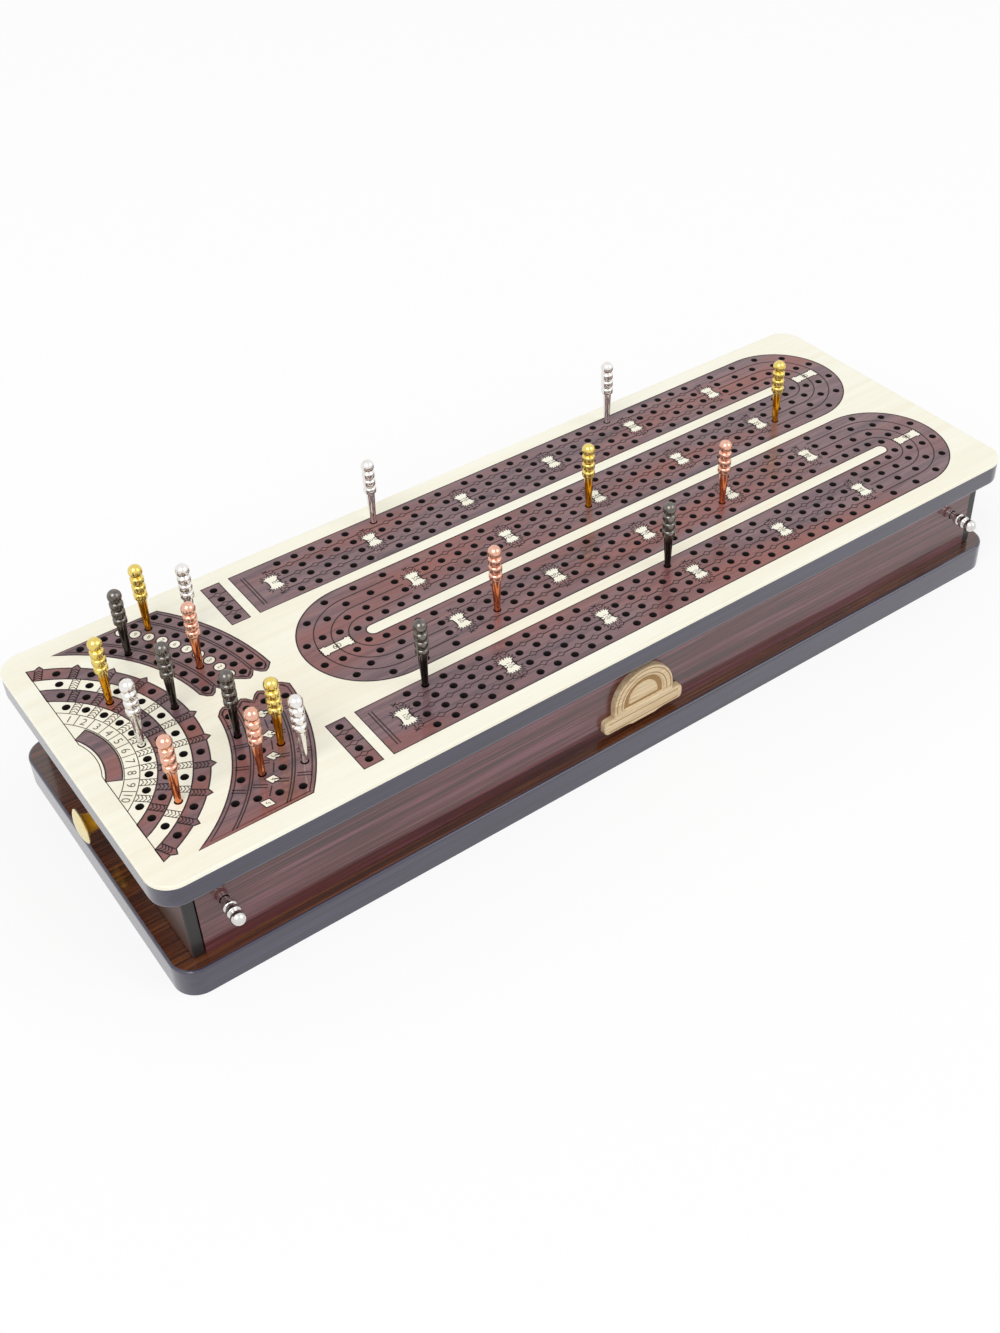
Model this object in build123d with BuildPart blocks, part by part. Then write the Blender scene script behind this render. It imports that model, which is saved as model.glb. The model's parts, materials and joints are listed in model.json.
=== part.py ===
from build123d import *
import os
from math import asin, cos, degrees, pi, radians, sin, sqrt

# Cribbage box: a rosewood scoring board with a maple face lies on a shallow case that
# holds a drawer at each end. Sizes are in millimetres. X runs along the board, Y to the
# back and Z up, with the origin on the table under the middle of the base.

# ---------------------------------------------------------------- driving dimensions
# Scoring track: four lanes of four rows, joined by three half-round turns
hole_pitch = 7.2                # between holes along a row
row_pitch = 6.05                # between rows
holes_per_group = 5
group_gap = 12.4                # from the last hole of a group to the first of the next
long_lane_groups = 5            # in the front and back lanes
lane_edge = 2.925               # from the outer row to the lane's edge
strip_width = 5.3               # maple strip between two lanes
lane_start_lead = 11.95         # from a long lane's end to its first plaque
right_turn_lead = 25.25         # from the last plaque to the right turns' centres
left_turn_lead = 26.35          # from the second plaque back to the left turn's centre
turn_first = (4.0, 6.0, 7.0, 6.1)   # arc from a turn's top to its first hole, inner ring first
turn_lead = (5.1, 6.0, 6.7, 8.0)    # from a ring's last hole to the plaque line

# Board outline and thicknesses
side_margin = 7.55              # maple left in front of and behind the lanes
end_margin = 10.15              # maple left beyond the turns and beyond the arc figures
corner_radius = 8.0
board_thickness = 9.5           # with the face sheet
sheet_thickness = 1.5
edge_easing = 0.8

# Figures at the left end, drawn about one centre beyond the board's end
figure_margin = 8.5             # from the board's long edges to the row figures
arc_to_track_gap = 9.9
corner_inner_lead = 8.6         # inner radius of the row figures beyond their reach
corner_row_steps = (2.8, 5.7, 8.2, 6.0)     # from the inner edge outwards, row by row
corner_row_margin = 3.3         # from the last row to the outer edge
corner_row_holes = 10
corner_first_height = 8.0       # a row's first hole above the middle line
corner_last_inset = 2.7         # a row's last hole inside the straight outer edge
lower_row_steps = (2.9, 6.4, 6.3, 6.9)
lower_row_holes = 5
lower_first_heights = (8.7, 8.9, 9.2, 11.1)         # inner row first
lower_last_insets = (10.4, 8.1, 6.35, 4.3)
row_point_height = 3.6          # pointed ends of the rows above the middle line
row_notch_height = 6.7
games_gap = 6.8                 # from the row figures in to the games figure
games_band_widths = (5.3, 5.4, 5.6, 5.6)    # dark, light, dark, light, from the outside in
games_row_steps = (12.7, 12.2, 11.7, 10.6)  # degrees between the holes of each band
games_row_holes = 10
number_ring_width = 5.4
label_width = 5.0
label_half_angle = 28.4
tally_width = 7.0               # block of four holes before each long lane
tally_to_lane_gap = 4.0

# Holes and inlays
hole_radius = 1.45
hole_depth = 7.0
hole_sides = 4                  # a free hole is drawn as a pit with flat sides
socket_sides = 6                # and a hole that holds a peg as a straight prism
plaque_thickness = 1.2
plaque_length = 5.0             # along the lane
plaque_width = 7.5
turn_plaque_length = 12.4
turn_plaque_width = 5.0
disc_inset = 12.7               # from the corner figure's inner edge to its discs
disc_radius = 2.3
disc_sides = 6
disc_count = 10
disc_first_angle = 7.4
disc_last_inset = 3.0
diamond_inset = 12.8
diamond_half_length = 2.6
diamond_count = 5
diamond_first_angle = 10.7
diamond_last_inset = 4.6
inlay_gap = 0.12                # dark line round every inlay

# Case
base_thickness = 11.5
body_height = 30.5              # between base and board
wall_inset = 5.0                # from the board's edge to the front and back walls
wall_thickness = 7.0
partition_thickness = 6.0
dado_depth = 2.0                # grooves that hold a panel's edge
dado_gap = 0.1

# Drawers
front_inset = 10.0              # from the board's end to the drawer front
lip_thickness = 4.0             # overlaps the wall ends
lip_gap = 0.4                   # between lip and wall ends
front_gap = 0.4                 # above, below and beside the drawer front
rail_thickness = 5.0            # inner part of the front, between the walls
drawer_side_thickness = 5.0
drawer_bottom_thickness = 3.0
drawer_bottom_height = 2.0      # underside of the bottom above the drawer's lower edge
drawer_side_gap = 0.4
drawer_floor_gap = 0.3
drawer_head_gap = 0.8           # under the board
drawer_back_gap = 2.0           # behind the drawer, at the partition

# Knob and its screw
knob_flange_radius = 4.3
knob_flange_thickness = 1.0
knob_neck_radius = 3.6
knob_disc_radius = 6.8
knob_disc_thickness = 1.6
knob_dome = 1.0
knob_length = 9.0
knob_sides = 12
screw_radius = 1.5
screw_gap = 0.25
screw_sides = 8
screw_head_radius = 3.0
screw_head_thickness = 1.8
screw_bite = 5.0                # thread inside the knob
screw_slot_width = 0.8
screw_slot_depth = 0.8

# Pegs
peg_length = 34.5
peg_floor_gap = 0.3             # under the tip in its hole
peg_tip_gap = 0.45              # beside the tip in its hole
peg_shank_radius = 1.65         # under the beads
peg_neck_radius = 1.7
peg_bead_radius = 2.4
peg_bead_pitch = 3.35
peg_beads = 3
peg_ball_radius = 2.5
peg_sides = 6
lock_from_wall_end = 9.1        # lock pegs in the front wall
lock_height = 19.0              # above the base
lock_ball_from_wall = 9.0       # ball centre, with the peg drawn
lock_beads = 2
lock_bead_pitch = 2.6
lock_shank_radius = 1.65
lock_hole_gap = 0.25
lock_hole_sides = 8
lock_socket_depth = 2.0         # blind hole in the drawer side

# Plaque on the front wall: a bar with an arch above it
badge_offset = 3.0              # from the middle of the wall
badge_width = 37.7
badge_bar_height = 6.8
badge_arch_width = 28.5
badge_head_gap = 3.0            # from the board's underside to the arch's top
badge_foot_gap = 1.5            # from the base to the bar
badge_thickness = 3.0
badge_border = 3.6
badge_recess = 0.8

# ---------------------------------------------------------------- derived sizes
lane_half = 1.5 * row_pitch + lane_edge
lane_pitch = 2 * lane_half + strip_width
group_pitch = (holes_per_group - 1) * hole_pitch + group_gap
turn_outer = lane_pitch / 2 + lane_half
turn_inner = lane_pitch / 2 - lane_half

board_width = 8 * lane_half + 3 * strip_width + 2 * side_margin

# Radii about the left-end figures' centre
figure_reach = board_width / 2 - figure_margin
corner_inner_radius = figure_reach + corner_inner_lead
corner_outer_radius = corner_inner_radius + sum(corner_row_steps) + corner_row_margin
corner_rows = [corner_inner_radius + sum(corner_row_steps[: i + 1]) for i in range(4)]
lower_rows = [corner_inner_radius + sum(lower_row_steps[: i + 1]) for i in range(4)]
disc_orbit = corner_inner_radius + disc_inset
diamond_orbit = corner_inner_radius + diamond_inset
games_edges = [corner_inner_radius - games_gap - sum(games_band_widths[:i]) for i in range(5)]
label_outer_radius = games_edges[4] - number_ring_width
label_inner_radius = label_outer_radius - label_width

# Places along the board are first measured from its left end, then moved so that the
# origin is at the middle. The figures' centre lies beyond the end by the amount that
# puts the label's corners on the figures' straight left edge.
arc_from_end = end_margin - label_inner_radius * cos(radians(label_half_angle))
lane_from_end = arc_from_end + corner_outer_radius + arc_to_track_gap
plaque_from_end = lane_from_end + lane_start_lead
turn_from_end = plaque_from_end + long_lane_groups * group_pitch + right_turn_lead
board_length = turn_from_end + turn_outer + end_margin
arc_x = arc_from_end - board_length / 2
lane_x = lane_from_end - board_length / 2
plaque_x = plaque_from_end - board_length / 2
right_turn_x = turn_from_end - board_length / 2
left_turn_x = plaque_x + group_pitch - left_turn_lead
figure_end_x = end_margin - board_length / 2
tally_x = lane_x - tally_to_lane_gap - tally_width / 2

board_bottom = base_thickness + body_height
sheet_bottom = board_bottom + board_thickness - sheet_thickness
board_top = board_bottom + board_thickness
wall_face = board_width / 2 - wall_inset
wall_inner_face = wall_face - wall_thickness
front_face_x = board_length / 2 - front_inset
wall_end_x = front_face_x - lip_thickness - lip_gap
drawer_half_width = wall_inner_face - drawer_side_gap
drawer_bottom_z = base_thickness + drawer_floor_gap
drawer_top_z = board_bottom - drawer_head_gap
drawer_rail_x = front_face_x - lip_thickness - rail_thickness
drawer_end_x = partition_thickness / 2 + drawer_back_gap
drawer_middle_z = base_thickness + body_height / 2
panel_reach = drawer_half_width - drawer_side_thickness + dado_depth - dado_gap
lock_x = wall_end_x - lock_from_wall_end
lock_z = base_thickness + lock_height
lock_hole_radius = lock_shank_radius + lock_hole_gap
mouth_height = hole_depth - peg_floor_gap   # hole mouth above the tip of a seated peg
peg_tip_radius = hole_radius * cos(pi / socket_sides) - peg_tip_gap


# ---------------------------------------------------------------- hole places
def lane_y(lane):
    """Middle of a lane, the back lane being 0."""
    return (1.5 - lane) * lane_pitch


def straight_hole(lane, group, row, step):
    """Place of one hole on the straights: row 0 is the back one, step 0 the left one."""
    middle = plaque_x + (group + 0.5) * group_pitch
    x = middle + (step - (holes_per_group - 1) / 2) * hole_pitch
    return (x, lane_y(lane) + (1.5 - row) * row_pitch)


def turn_hole(turn, ring, side, step):
    """Place of one hole in a turn; side is +1 behind its middle line and -1 before it."""
    centre_x, centre_y, facing, straight = turn
    radius = lane_pitch / 2 + (ring - 1.5) * row_pitch
    length = straight + radius * pi / 2
    pitch = (length - turn_first[ring] - turn_lead[ring]) / (holes_per_group - 1)
    along = turn_first[ring] + step * pitch
    past = along - radius * pi / 2
    if past > 0:
        return (centre_x - facing * past, centre_y + side * radius)
    angle = along / radius
    return (centre_x + facing * radius * cos(angle), centre_y + side * radius * sin(angle))


def arc_hole(radius, angle):
    """Place at a radius and an angle in degrees about the left-end figures' centre."""
    return (arc_x + radius * cos(radians(angle)), radius * sin(radians(angle)))


def height_angle(radius, height):
    """Angle in degrees at which a radius reaches a height above the middle line."""
    return degrees(asin(height / radius))


def even_steps(first, last, count):
    """Values from first to last at even steps."""
    return [first + (last - first) * i / (count - 1) for i in range(count)]


def arc_row(radius, first, last, count):
    """Holes at even angles between two heights above the middle line."""
    angles = even_steps(height_angle(radius, first), height_angle(radius, last), count)
    return [arc_hole(radius, angle) for angle in angles]


def games_row(band):
    """Holes along the middle of one band of the games figure."""
    radius = (games_edges[band] + games_edges[band + 1]) / 2
    middle = (games_row_holes - 1) / 2
    return [arc_hole(radius, (i - middle) * games_row_steps[band]) for i in range(games_row_holes)]


left_turn = (left_turn_x, 0.0, -1, left_turn_lead)
back_turn = (right_turn_x, lane_pitch, 1, right_turn_lead)
front_turn = (right_turn_x, -lane_pitch, 1, right_turn_lead)
turns = (left_turn, back_turn, front_turn)

straight_places = [
    straight_hole(lane, group, row, step)
    for lane in range(4)
    for group in range(0 if lane in (0, 3) else 1, long_lane_groups)
    for row in range(4)
    for step in range(holes_per_group)
]
turn_places = [
    turn_hole(turn, ring, side, step)
    for turn in turns
    for ring in range(4)
    for side in (1, -1)
    for step in range(holes_per_group)
]
tally_places = [(tally_x, lane_y(lane) + (1.5 - row) * row_pitch) for lane in (0, 3) for row in range(4)]
corner_last_height = figure_reach - corner_last_inset
corner_places = [
    arc_row(radius, corner_first_height, corner_last_height, corner_row_holes) for radius in corner_rows
]
lower_places = [
    arc_row(radius, -first, inset - figure_reach, lower_row_holes)
    for radius, first, inset in zip(lower_rows, lower_first_heights, lower_last_insets)
]
games_places = [games_row(band) for band in range(4)]
figure_places = [place for row in corner_places + lower_places + games_places for place in row]
all_places = straight_places + turn_places + tally_places + figure_places

# Holes that hold a peg, by the peg's finish; rows of the figures count from the inside,
# bands of the games figure from the outside
peg_places = {
    "silver": [
        straight_hole(0, 1, 0, 0),
        straight_hole(0, 3, 0, 4),
        corner_places[3][6],
        games_places[3][4],
        lower_places[3][3],
    ],
    "gold": [
        turn_hole(back_turn, 2, -1, 4),
        straight_hole(1, 2, 2, 4),
        corner_places[2][8],
        games_places[2][7],
        lower_places[2][2],
    ],
    "copper": [
        straight_hole(2, 3, 2, 4),
        straight_hole(2, 1, 2, 1),
        corner_places[1][2],
        games_places[1][1],
        lower_places[1][3],
    ],
    "black": [
        straight_hole(3, 2, 0, 4),
        straight_hole(3, 0, 0, 1),
        corner_places[0][6],
        games_places[0][5],
        lower_places[0][1],
    ],
}
pegged_places = [place for places in peg_places.values() for place in places]


# ---------------------------------------------------------------- outlines of the board's face
# Each outline can be drawn larger by a clearance all round, for the cut-out it lies in.
def track_outline(grow):
    """Four lanes and three turns as one winding outline."""
    half = lane_half + grow
    outer = turn_outer + grow
    inner = turn_inner - grow
    start = lane_x - grow
    with BuildSketch() as outline:
        with BuildLine():
            Line((start, lane_y(0) + half), (right_turn_x, lane_y(0) + half))
            CenterArc((right_turn_x, lane_pitch), outer, 90, -180)
            Line((right_turn_x, lane_y(1) - half), (left_turn_x, lane_y(1) - half))
            CenterArc((left_turn_x, 0), inner, 90, 180)
            Line((left_turn_x, lane_y(2) + half), (right_turn_x, lane_y(2) + half))
            CenterArc((right_turn_x, -lane_pitch), outer, 90, -180)
            Line((right_turn_x, lane_y(3) - half), (start, lane_y(3) - half))
            Line((start, lane_y(3) - half), (start, lane_y(3) + half))
            Line((start, lane_y(3) + half), (right_turn_x, lane_y(3) + half))
            CenterArc((right_turn_x, -lane_pitch), inner, -90, 180)
            Line((right_turn_x, lane_y(2) - half), (left_turn_x, lane_y(2) - half))
            CenterArc((left_turn_x, 0), outer, -90, -180)
            Line((left_turn_x, lane_y(1) + half), (right_turn_x, lane_y(1) + half))
            CenterArc((right_turn_x, lane_pitch), inner, -90, 180)
            Line((right_turn_x, lane_y(0) - half), (start, lane_y(0) - half))
            Line((start, lane_y(0) - half), (start, lane_y(0) + half))
        make_face()
    return outline.sketch


def tally_outline(grow):
    """The two blocks of four holes before the long lanes."""
    with BuildSketch() as outline:
        with Locations((tally_x, lane_y(0)), (tally_x, lane_y(3))):
            Rectangle(tally_width + 2 * grow, 2 * (lane_half + grow))
    return outline.sketch


def row_figure_outline(rows, side, grow):
    """Curved block of rows behind (side +1) or before (side -1) the middle line."""
    inner = corner_inner_radius - grow
    outer = corner_outer_radius + grow
    reach = figure_reach + grow
    notch = row_notch_height - grow
    point = row_point_height - grow

    def at_height(radius, height):
        return (arc_x + sqrt(radius * radius - height * height), side * height)

    zigzag = [at_height(inner, notch)]
    for row, radius in enumerate(rows):
        zigzag.append(at_height(radius, point))
        next_radius = outer if row == len(rows) - 1 else (radius + rows[row + 1]) / 2
        zigzag.append(at_height(next_radius, notch))
    middle = reach / 2
    with BuildSketch() as outline:
        with BuildLine():
            Polyline(*zigzag)
            ThreePointArc(zigzag[-1], at_height(outer, middle), at_height(outer, reach))
            Line(at_height(outer, reach), at_height(inner, reach))
            ThreePointArc(at_height(inner, reach), at_height(inner, middle), zigzag[0])
        make_face()
    return outline.sketch


def clipped_band_outline(inner, outer, grow):
    """Band between two radii, cut off by the straight left edge of the games figure."""
    clip = figure_end_x - grow
    low = inner - grow
    high = outer + grow

    def on_clip(radius, side):
        return (clip, side * sqrt(radius * radius - (clip - arc_x) ** 2))

    with BuildSketch() as outline:
        with BuildLine():
            ThreePointArc(on_clip(high, -1), (arc_x + high, 0), on_clip(high, 1))
            Line(on_clip(high, 1), on_clip(low, 1))
            ThreePointArc(on_clip(low, 1), (arc_x + low, 0), on_clip(low, -1))
            Line(on_clip(low, -1), on_clip(high, -1))
        make_face()
    return outline.sketch


def label_outline(grow):
    """Short dark band for a title, left bare."""
    low = label_inner_radius - grow
    high = label_outer_radius + grow
    spread = label_half_angle + degrees(grow / label_inner_radius)
    with BuildSketch() as outline:
        with BuildLine():
            ThreePointArc(arc_hole(high, -spread), arc_hole(high, 0), arc_hole(high, spread))
            Line(arc_hole(high, spread), arc_hole(low, spread))
            ThreePointArc(arc_hole(low, spread), arc_hole(low, 0), arc_hole(low, -spread))
            Line(arc_hole(low, -spread), arc_hole(high, -spread))
        make_face()
    return outline.sketch


def dark_outlines(grow):
    """Every area where the rosewood board shows through the maple sheet."""
    outlines = [
        track_outline(grow),
        tally_outline(grow),
        row_figure_outline(corner_rows, 1, grow),
        row_figure_outline(lower_rows, -1, grow),
        label_outline(grow),
    ]
    for band in (0, 2):
        outlines.append(clipped_band_outline(games_edges[band + 1], games_edges[band], grow))
    return outlines


star_places = [
    (plaque_x + line * group_pitch, lane_y(lane))
    for lane in range(4)
    for line in range(0 if lane in (0, 3) else 1, long_lane_groups + 1)
]
turn_plaque_places = [(x + facing * lane_pitch / 2, y) for x, y, facing, straight in turns]
disc_last_angle = height_angle(disc_orbit, figure_reach - disc_last_inset)
disc_angles = even_steps(disc_first_angle, disc_last_angle, disc_count)
diamond_last_angle = height_angle(diamond_orbit, figure_reach - diamond_last_inset)
diamond_angles = even_steps(-diamond_first_angle, -diamond_last_angle, diamond_count)


def star_outlines(grow):
    """Oblong plaques across the lanes, between the groups of holes."""
    with BuildSketch() as outlines:
        with Locations(*star_places):
            Rectangle(plaque_length + 2 * grow, plaque_width + 2 * grow)
    return outlines.sketch


def turn_plaque_outlines(grow):
    """Oblong plaques at the tops of the turns."""
    with BuildSketch() as outlines:
        with Locations(*turn_plaque_places):
            Rectangle(turn_plaque_length + 2 * grow, turn_plaque_width + 2 * grow)
    return outlines.sketch


def disc_outlines(grow):
    """Discs between the corner figure's rows, drawn with flat sides."""
    with BuildSketch() as outlines:
        with Locations(*[arc_hole(disc_orbit, angle) for angle in disc_angles]):
            RegularPolygon(disc_radius + grow, disc_sides)
    return outlines.sketch


def diamond_outlines(grow):
    """Diamonds between the lower figure's rows, each pointing along its radius."""
    with BuildSketch() as outlines:
        for angle in diamond_angles:
            with Locations(arc_hole(diamond_orbit, angle)):
                RegularPolygon(diamond_half_length + grow, 4, rotation=angle)
    return outlines.sketch


inlay_outlines = {
    "star_plaques": star_outlines,
    "turn_plaques": turn_plaque_outlines,
    "corner_discs": disc_outlines,
    "lower_diamonds": diamond_outlines,
}


# ---------------------------------------------------------------- turned pieces
def ring_corners(section, sides):
    """Corners of one flat-sided ring of a turned piece, from its (height, radius) pair."""
    height, radius = section
    angles = [2 * pi * i / sides for i in range(sides)]
    return [(radius * cos(angle), radius * sin(angle), height) for angle in angles]


def build_turned(sections, sides):
    """Turned piece with flat sides, standing at the origin along Z."""
    with BuildPart() as turned:
        for lower, upper in zip(sections, sections[1:]):
            ConvexPolyhedron(ring_corners(lower, sides) + ring_corners(upper, sides))
    return turned.part


def beaded_sections(start, beads, pitch):
    """Rings of a peg's beads and ball above the neck at start."""
    sections = []
    for bead in range(beads):
        sections.append((start + (bead + 0.5) * pitch, peg_bead_radius))
        sections.append((start + (bead + 1) * pitch, peg_neck_radius))
    for angle in (0, 45, 75):
        height = start + beads * pitch + ball_rise + peg_ball_radius * sin(radians(angle))
        sections.append((height, peg_ball_radius * cos(radians(angle))))
    return sections


ball_rise = sqrt(peg_ball_radius**2 - peg_neck_radius**2)
ball_height = ball_rise + peg_ball_radius * sin(radians(75))
peg_shank_length = peg_length - peg_beads * peg_bead_pitch - ball_height
peg_sections = [(0, peg_tip_radius), (peg_shank_length, peg_shank_radius)]
peg_sections += beaded_sections(peg_shank_length, peg_beads, peg_bead_pitch)
lock_neck = lock_ball_from_wall - ball_rise - lock_beads * lock_bead_pitch
lock_sections = [(-wall_thickness, peg_tip_radius), (lock_neck, lock_shank_radius)]
lock_sections += beaded_sections(lock_neck, lock_beads, lock_bead_pitch)

# ---------------------------------------------------------------- case
os.makedirs("parts", exist_ok=True)
with BuildPart() as base_plate:
    with BuildSketch():
        RectangleRounded(board_length, board_width, corner_radius)
    extrude(amount=base_thickness)
    chamfer(base_plate.faces().sort_by(Axis.Z)[-1].edges(), edge_easing)
base_plate.part.label = "base_plate"
export_step(base_plate.part, "parts/base_plate.step")


def build_wall(side, with_locks):
    """Front (side -1) or back (side +1) wall, grooved inside for the partition."""
    middle_y = side * (wall_face - wall_thickness / 2)
    with BuildPart() as wall:
        with BuildSketch(Plane.XY.offset(base_thickness)):
            with Locations((0, middle_y)):
                Rectangle(2 * wall_end_x, wall_thickness)
            with Locations((0, side * (wall_inner_face + dado_depth / 2))):
                Rectangle(partition_thickness + 2 * dado_gap, dado_depth, mode=Mode.SUBTRACT)
        extrude(amount=body_height)
        if with_locks:
            with BuildSketch(Plane.XZ.offset(wall_inner_face)):
                with Locations((-lock_x, lock_z), (lock_x, lock_z)):
                    RegularPolygon(lock_hole_radius, lock_hole_sides)
            extrude(amount=wall_thickness, mode=Mode.SUBTRACT)
    return wall.part


front_wall = build_wall(-1, True)
front_wall.label = "front_wall"
export_step(front_wall, "parts/front_wall.step")

back_wall = build_wall(1, False)
back_wall.label = "back_wall"
export_step(back_wall, "parts/back_wall.step")

with BuildPart() as centre_partition:
    with BuildSketch(Plane.XY.offset(base_thickness)):
        Rectangle(partition_thickness, 2 * (wall_inner_face + dado_depth - dado_gap))
    extrude(amount=body_height)
centre_partition.part.label = "centre_partition"
export_step(centre_partition.part, "parts/centre_partition.step")

# ---------------------------------------------------------------- scoring board
# A free hole is a pit that narrows to a point; a hole that holds a peg keeps its width.
with BuildPart() as pit:
    with BuildSketch(Plane.XY) as pit_mouth:
        RegularPolygon(hole_radius, hole_sides)
    loft(sections=[pit_mouth.sketch.faces()[0], Vertex(0, 0, -hole_depth)])

with BuildPart() as socket:
    with BuildSketch(Plane.XY):
        RegularPolygon(hole_radius, socket_sides)
    extrude(amount=-hole_depth)


def drill(places):
    """Sink the board's holes into the open part."""
    with Locations(*[(x, y, board_top) for x, y in places if (x, y) not in pegged_places]):
        add(pit.part, mode=Mode.SUBTRACT)
    with Locations(*[(x, y, board_top) for x, y in places if (x, y) in pegged_places]):
        add(socket.part, mode=Mode.SUBTRACT)


dark_figures = dark_outlines(0)
inlay_pockets = [outlines(inlay_gap) for outlines in inlay_outlines.values()]
with BuildPart() as top_board:
    with BuildSketch(Plane.XY.offset(board_bottom)):
        RectangleRounded(board_length, board_width, corner_radius)
    extrude(amount=board_thickness - sheet_thickness)
    chamfer(top_board.faces().sort_by(Axis.Z)[0].edges(), edge_easing)
    with BuildSketch(Plane.XY.offset(sheet_bottom)):
        add(dark_figures)
    extrude(amount=sheet_thickness)
    with BuildSketch(Plane.XY.offset(board_top)):
        add(inlay_pockets)
    extrude(amount=-plaque_thickness, mode=Mode.SUBTRACT)
    drill(all_places)
top_board.part.label = "top_board"
export_step(top_board.part, "parts/top_board.step")

light_places = games_places[1] + games_places[3]
sheet_cutouts = dark_outlines(inlay_gap)
with BuildPart() as face_sheet:
    with BuildSketch(Plane.XY.offset(sheet_bottom)):
        RectangleRounded(board_length, board_width, corner_radius)
    extrude(amount=sheet_thickness)
    with BuildSketch(Plane.XY.offset(sheet_bottom)):
        add(sheet_cutouts)
    extrude(amount=sheet_thickness, mode=Mode.SUBTRACT)
    drill(light_places)
face_sheet.part.label = "face_sheet"
export_step(face_sheet.part, "parts/face_sheet.step")


for name, outlines in inlay_outlines.items():
    inlay_faces = outlines(0)
    with BuildPart() as inlay:
        with BuildSketch(Plane.XY.offset(board_top)):
            add(inlay_faces)
        extrude(amount=-plaque_thickness)
    inlay.part.label = name
    export_step(inlay.part, f"parts/{name}.step")

# ---------------------------------------------------------------- badge
badge_plane = Plane.XZ.offset(wall_face)
badge_bottom = base_thickness + badge_foot_gap
badge_top = board_bottom - badge_head_gap


def arch_outline(border):
    """The badge's arch, drawn a border's width inside its edge."""
    radius = badge_arch_width / 2 - border
    spring = badge_top - badge_arch_width / 2
    floor = badge_bottom + badge_bar_height
    left = badge_offset - radius
    right = badge_offset + radius
    with BuildSketch() as outline:
        with BuildLine():
            ThreePointArc((left, spring), (badge_offset, spring + radius), (right, spring))
            Polyline((right, spring), (right, floor), (left, floor), (left, spring))
        make_face()
    return outline.sketch


badge_arch = arch_outline(0)
badge_field = arch_outline(badge_border)
with BuildPart() as badge_plaque:
    with BuildSketch(badge_plane):
        with Locations((badge_offset, badge_bottom + badge_bar_height / 2)):
            Rectangle(badge_width, badge_bar_height)
        add(badge_arch)
    extrude(amount=badge_thickness)
    with BuildSketch(badge_plane.offset(badge_thickness)):
        add(badge_field)
    extrude(amount=-badge_recess, mode=Mode.SUBTRACT)
badge_plaque.part.label = "badge_plaque"
export_step(badge_plaque.part, "parts/badge_plaque.step")


# ---------------------------------------------------------------- drawers
def build_drawer_front(side):
    """Front with a lip over the wall ends and a grooved rail between the walls."""
    lip_height = body_height - 2 * front_gap
    rail_height = drawer_top_z - drawer_bottom_z
    rail_middle_z = (drawer_top_z + drawer_bottom_z) / 2
    with BuildPart() as front:
        with BuildSketch(Plane.YZ.offset(side * front_face_x)):
            with Locations((0, drawer_middle_z)):
                Rectangle(2 * (wall_face - front_gap), lip_height)
        extrude(amount=-side * lip_thickness)
        chamfer(front.faces().sort_by(Axis.X)[-1 if side > 0 else 0].edges(), edge_easing / 2)
        with BuildSketch(Plane.YZ.offset(side * drawer_rail_x)):
            with Locations((0, rail_middle_z)):
                Rectangle(2 * drawer_half_width, rail_height)
        extrude(amount=side * rail_thickness)
        with BuildSketch(Plane.YZ.offset(side * drawer_rail_x)):
            with Locations((0, drawer_bottom_z + drawer_bottom_height + drawer_bottom_thickness / 2)):
                Rectangle(2 * panel_reach, drawer_bottom_thickness)
            for y in (-drawer_half_width, drawer_half_width):
                with Locations((y, rail_middle_z)):
                    Rectangle(2 * drawer_side_thickness, rail_height)
        extrude(amount=side * dado_depth, mode=Mode.SUBTRACT)
        with BuildSketch(Plane.YZ.offset(side * drawer_rail_x)):
            with Locations((0, drawer_middle_z)):
                RegularPolygon(screw_radius + screw_gap, screw_sides)
        extrude(amount=side * (rail_thickness + lip_thickness), mode=Mode.SUBTRACT)
    return front.part


def build_drawer_side(side, face, with_socket):
    """Drawer side before (face -1) or behind (face +1) the middle, grooved for the panels."""
    middle_y = face * (drawer_half_width - drawer_side_thickness / 2)
    groove_y = face * (drawer_half_width - drawer_side_thickness + dado_depth / 2)
    start_x = side * drawer_end_x
    end_x = side * (drawer_rail_x + dado_depth)
    length = abs(end_x - start_x)
    middle_x = (start_x + end_x) / 2
    back_x = side * (drawer_end_x + drawer_side_thickness / 2)
    bottom_z = drawer_bottom_z + drawer_bottom_height
    with BuildPart() as panel:
        with BuildSketch(Plane.XY.offset(drawer_bottom_z)):
            with Locations((middle_x, middle_y)):
                Rectangle(length, drawer_side_thickness)
        extrude(amount=drawer_top_z - drawer_bottom_z)
        with BuildSketch(Plane.XY.offset(bottom_z)):
            with Locations((middle_x, groove_y)):
                Rectangle(length, dado_depth)
        extrude(amount=drawer_bottom_thickness, mode=Mode.SUBTRACT)
        with BuildSketch(Plane.XY.offset(bottom_z + drawer_bottom_thickness)):
            with Locations((back_x, groove_y)):
                Rectangle(drawer_side_thickness, dado_depth)
        extrude(until=Until.LAST, mode=Mode.SUBTRACT)
        if with_socket:
            with BuildSketch(Plane.XZ.offset(drawer_half_width)):
                with Locations((side * lock_x, lock_z)):
                    RegularPolygon(lock_hole_radius, lock_hole_sides)
            extrude(amount=-lock_socket_depth, mode=Mode.SUBTRACT)
    return panel.part


def build_drawer_back(side):
    """Back panel, standing on the bottom and housed in the sides."""
    with BuildPart() as panel:
        floor = drawer_bottom_z + drawer_bottom_height + drawer_bottom_thickness
        with BuildSketch(Plane.XY.offset(floor)):
            with Locations((side * (drawer_end_x + drawer_side_thickness / 2), 0)):
                Rectangle(drawer_side_thickness - 2 * dado_gap, 2 * panel_reach)
        extrude(amount=drawer_top_z - floor)
    return panel.part


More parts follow.
